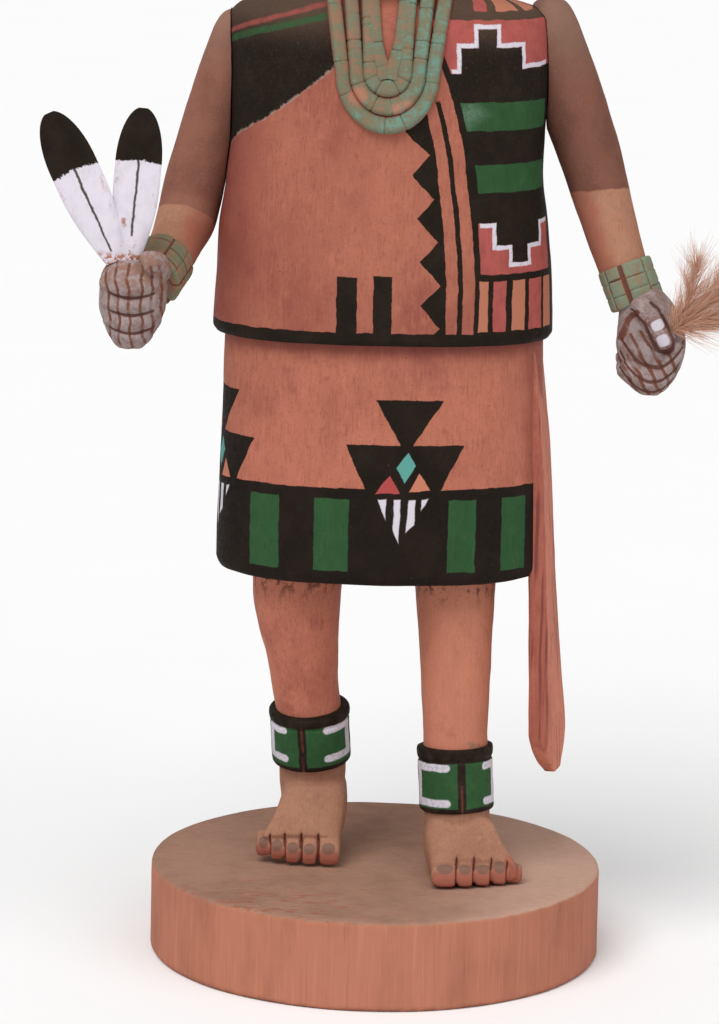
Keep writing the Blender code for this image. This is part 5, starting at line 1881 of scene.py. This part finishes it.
def make_down(colours, shape):
    """A tuft of several small plumes whose barbs spread and curl."""
    draw = random.Random(41)
    template = barb_mesh()
    bm = bmesh.new()
    tone = bm.verts.layers.float.new("tone")
    tip = bm.verts.layers.float.new("tip")
    root = Vector(DOWN_ROOT) + Vector(DOWN_SHIFT)
    side = DOWN_DIRECTION.cross(Vector((0, 1, 0))).normalized()
    out = DOWN_DIRECTION.cross(side).normalized()
    plumes = []
    for angle, lift, reach in PLUMES:
        plumes.append((angle, lift, reach * DOWN_LENGTH, draw.uniform(-0.2, 0.2)))

    def plume_point(plume, share):
        angle, lift, reach, curl = plume
        bend = angle * (0.75 + 0.35 * share) + curl * share * share
        way = DOWN_DIRECTION * math.cos(bend) + side * math.sin(bend) + out * lift * share
        return root + way * (reach * share)

    start = 0
    for number in range(shape.barbs):
        if number % BARBS_IN_LOCK == 0:
            plume = plumes[(number // BARBS_IN_LOCK) % len(plumes)]
            lock_at = draw.random()
            spread = draw.uniform(0.2, 1.0) * draw.choice((-1, 1))
            tilt = draw.uniform(-1.0, 1.0)
            reach = draw.uniform(6.5, 12.0) * (1.0 - 0.4 * lock_at)
            bow = Vector((draw.uniform(-1, 1), draw.uniform(-1, 1), draw.uniform(-0.8, 1))) * 0.42
            opening = draw.uniform(0.12, 0.6) + (0.5 if lock_at < 0.12 else 0.0)
        at = min(0.96, max(0.0, lock_at + draw.uniform(-0.05, 0.05)))
        stem = plume_point(plume, at)
        ahead = (plume_point(plume, at + 0.05) - stem).normalized()
        sideways = spread + draw.uniform(-0.25, 0.25)
        away = (ahead.cross(out) * sideways + out * (tilt + draw.uniform(-0.3, 0.3)) * 0.7).normalized()
        length = reach * draw.uniform(0.6, 1.1)
        curl = bow + Vector((draw.uniform(-1, 1), draw.uniform(-1, 1), draw.uniform(-1, 1))) * 0.12
        open_angle = opening + draw.uniform(-0.12, 0.12)
        first = (ahead * math.cos(open_angle) + away * math.sin(open_angle)).normalized()
        bm.from_mesh(template)
        bm.verts.ensure_lookup_table()
        thick = shape.barb_radius / MM * draw.uniform(0.6, 1.15)
        shade = draw.random()
        across = first.cross(UP).normalized()
        upward = across.cross(first)
        wave, phase = draw.uniform(0.2, 0.9), draw.uniform(0.0, 6.28)
        for vert in bm.verts[start:]:
            run = vert.co.z
            centre = stem + first * (length * run) + (curl + ahead * 0.3) * (length * run * run)
            centre = centre + across * (wave * run * math.sin(5.5 * run + phase))
            spot = centre + (across * vert.co.x + upward * vert.co.y) * thick
            vert[tone] = shade
            vert[tip] = run * run
            vert.co = world(*spot)
        start = len(bm.verts)
    for plume in plumes:
        rows = []
        for share in np.linspace(0.0, 0.95, 12):
            size = 0.26 * (1 - 0.75 * share)
            rows.append((*plume_point(plume, share), size, size))
        mesh = as_mesh(limb(rows, 8, 1.6), "shaft")
        bm.from_mesh(mesh)
        bpy.data.meshes.remove(mesh)
    bpy.data.meshes.remove(template)
    bmesh.ops.recalc_face_normals(bm, faces=bm.faces)
    shown("down", bm, down_finish(colours), ["down_tuft"])


class DOLL_OT_stage(bpy.types.Operator):
    """Set up the floor, the light and the camera"""

    bl_idname = "doll.stage"
    bl_label = "Stage"

    def execute(self, context):
        make_stage(context)
        return {"FINISHED"}


def put_in(context, make):
    """Makes one piece from the doll's own colours and sizes."""
    make(context.scene.doll_colours, context.scene.doll_shape)
    return {"FINISHED"}


class DOLL_OT_base(bpy.types.Operator):
    """Cut the round base"""

    bl_idname = "doll.base"
    bl_label = "Base"

    def execute(self, context):
        return put_in(context, make_base)


class DOLL_OT_body(bpy.types.Operator):
    """Carve and paint the tunic and the kilt"""

    bl_idname = "doll.body"
    bl_label = "Tunic and kilt"

    def execute(self, context):
        return put_in(context, make_body)


class DOLL_OT_legs(bpy.types.Operator):
    """Carve the bare legs"""

    bl_idname = "doll.legs"
    bl_label = "Legs"

    def execute(self, context):
        return put_in(context, make_legs)


class DOLL_OT_feet(bpy.types.Operator):
    """Carve the feet and their toes"""

    bl_idname = "doll.feet"
    bl_label = "Feet"

    def execute(self, context):
        return put_in(context, make_feet)


class DOLL_OT_ankle_bands(bpy.types.Operator):
    """Carve and paint the ankle bands"""

    bl_idname = "doll.ankle_bands"
    bl_label = "Ankle bands"

    def execute(self, context):
        return put_in(context, make_ankle_bands)


class DOLL_OT_necklace(bpy.types.Operator):
    """Carve the strands of beads"""

    bl_idname = "doll.necklace"
    bl_label = "Necklace"

    def execute(self, context):
        return put_in(context, make_necklace)


class DOLL_OT_mask(bpy.types.Operator):
    """Carve and paint the mask"""

    bl_idname = "doll.mask"
    bl_label = "Mask"

    def execute(self, context):
        return put_in(context, make_mask)


class DOLL_OT_hair(bpy.types.Operator):
    """Carve the hair"""

    bl_idname = "doll.hair"
    bl_label = "Hair"

    def execute(self, context):
        return put_in(context, make_hair)


class DOLL_OT_arms(bpy.types.Operator):
    """Carve and paint both arms and fists"""

    bl_idname = "doll.arms"
    bl_label = "Arms"

    def execute(self, context):
        return put_in(context, make_arms)


class DOLL_OT_wrist_bands(bpy.types.Operator):
    """Carve the wrist bands"""

    bl_idname = "doll.wrist_bands"
    bl_label = "Wrist bands"

    def execute(self, context):
        return put_in(context, make_wrist_bands)


class DOLL_OT_sash(bpy.types.Operator):
    """Cut the sash board"""

    bl_idname = "doll.sash"
    bl_label = "Sash"

    def execute(self, context):
        return put_in(context, make_sash)


class DOLL_OT_feathers(bpy.types.Operator):
    """Cut and paint the pair of feathers"""

    bl_idname = "doll.feathers"
    bl_label = "Feathers"

    def execute(self, context):
        return put_in(context, make_feathers)


class DOLL_OT_down(bpy.types.Operator):
    """Gather the tuft of down"""

    bl_idname = "doll.down"
    bl_label = "Down"

    def execute(self, context):
        return put_in(context, make_down)


PIECES = (
    DOLL_OT_base,
    DOLL_OT_body,
    DOLL_OT_legs,
    DOLL_OT_feet,
    DOLL_OT_ankle_bands,
    DOLL_OT_necklace,
    DOLL_OT_mask,
    DOLL_OT_hair,
    DOLL_OT_arms,
    DOLL_OT_wrist_bands,
    DOLL_OT_sash,
    DOLL_OT_feathers,
    DOLL_OT_down,
)


class DOLL_PT_workshop(bpy.types.Panel):
    """Every step of making the doll"""

    bl_label = "Dancer doll"
    bl_idname = "DOLL_PT_workshop"
    bl_space_type = "VIEW_3D"
    bl_region_type = "UI"
    bl_category = "Doll"

    def draw(self, context):
        column = self.layout.column(align=True)
        for operator in (*PIECES, DOLL_OT_stage):
            column.operator(operator.bl_idname)
        for group in (context.scene.doll_colours, context.scene.doll_shape):
            for name in group.__annotations__:
                column.prop(group, name)


CLASSES = (DollColours, DollShape, DOLL_OT_stage, *PIECES, DOLL_PT_workshop)


def register():
    for made in CLASSES:
        bpy.utils.register_class(made)
    bpy.types.Scene.doll_colours = PointerProperty(type=DollColours)
    bpy.types.Scene.doll_shape = PointerProperty(type=DollShape)


def unregister():
    del bpy.types.Scene.doll_shape
    del bpy.types.Scene.doll_colours
    for made in reversed(CLASSES):
        bpy.utils.unregister_class(made)


def main():
    register()
    for operator in PIECES:
        getattr(bpy.ops.doll, operator.bl_idname.split(".")[1])()
    bpy.ops.doll.stage()


if __name__ == "__main__":
    main()
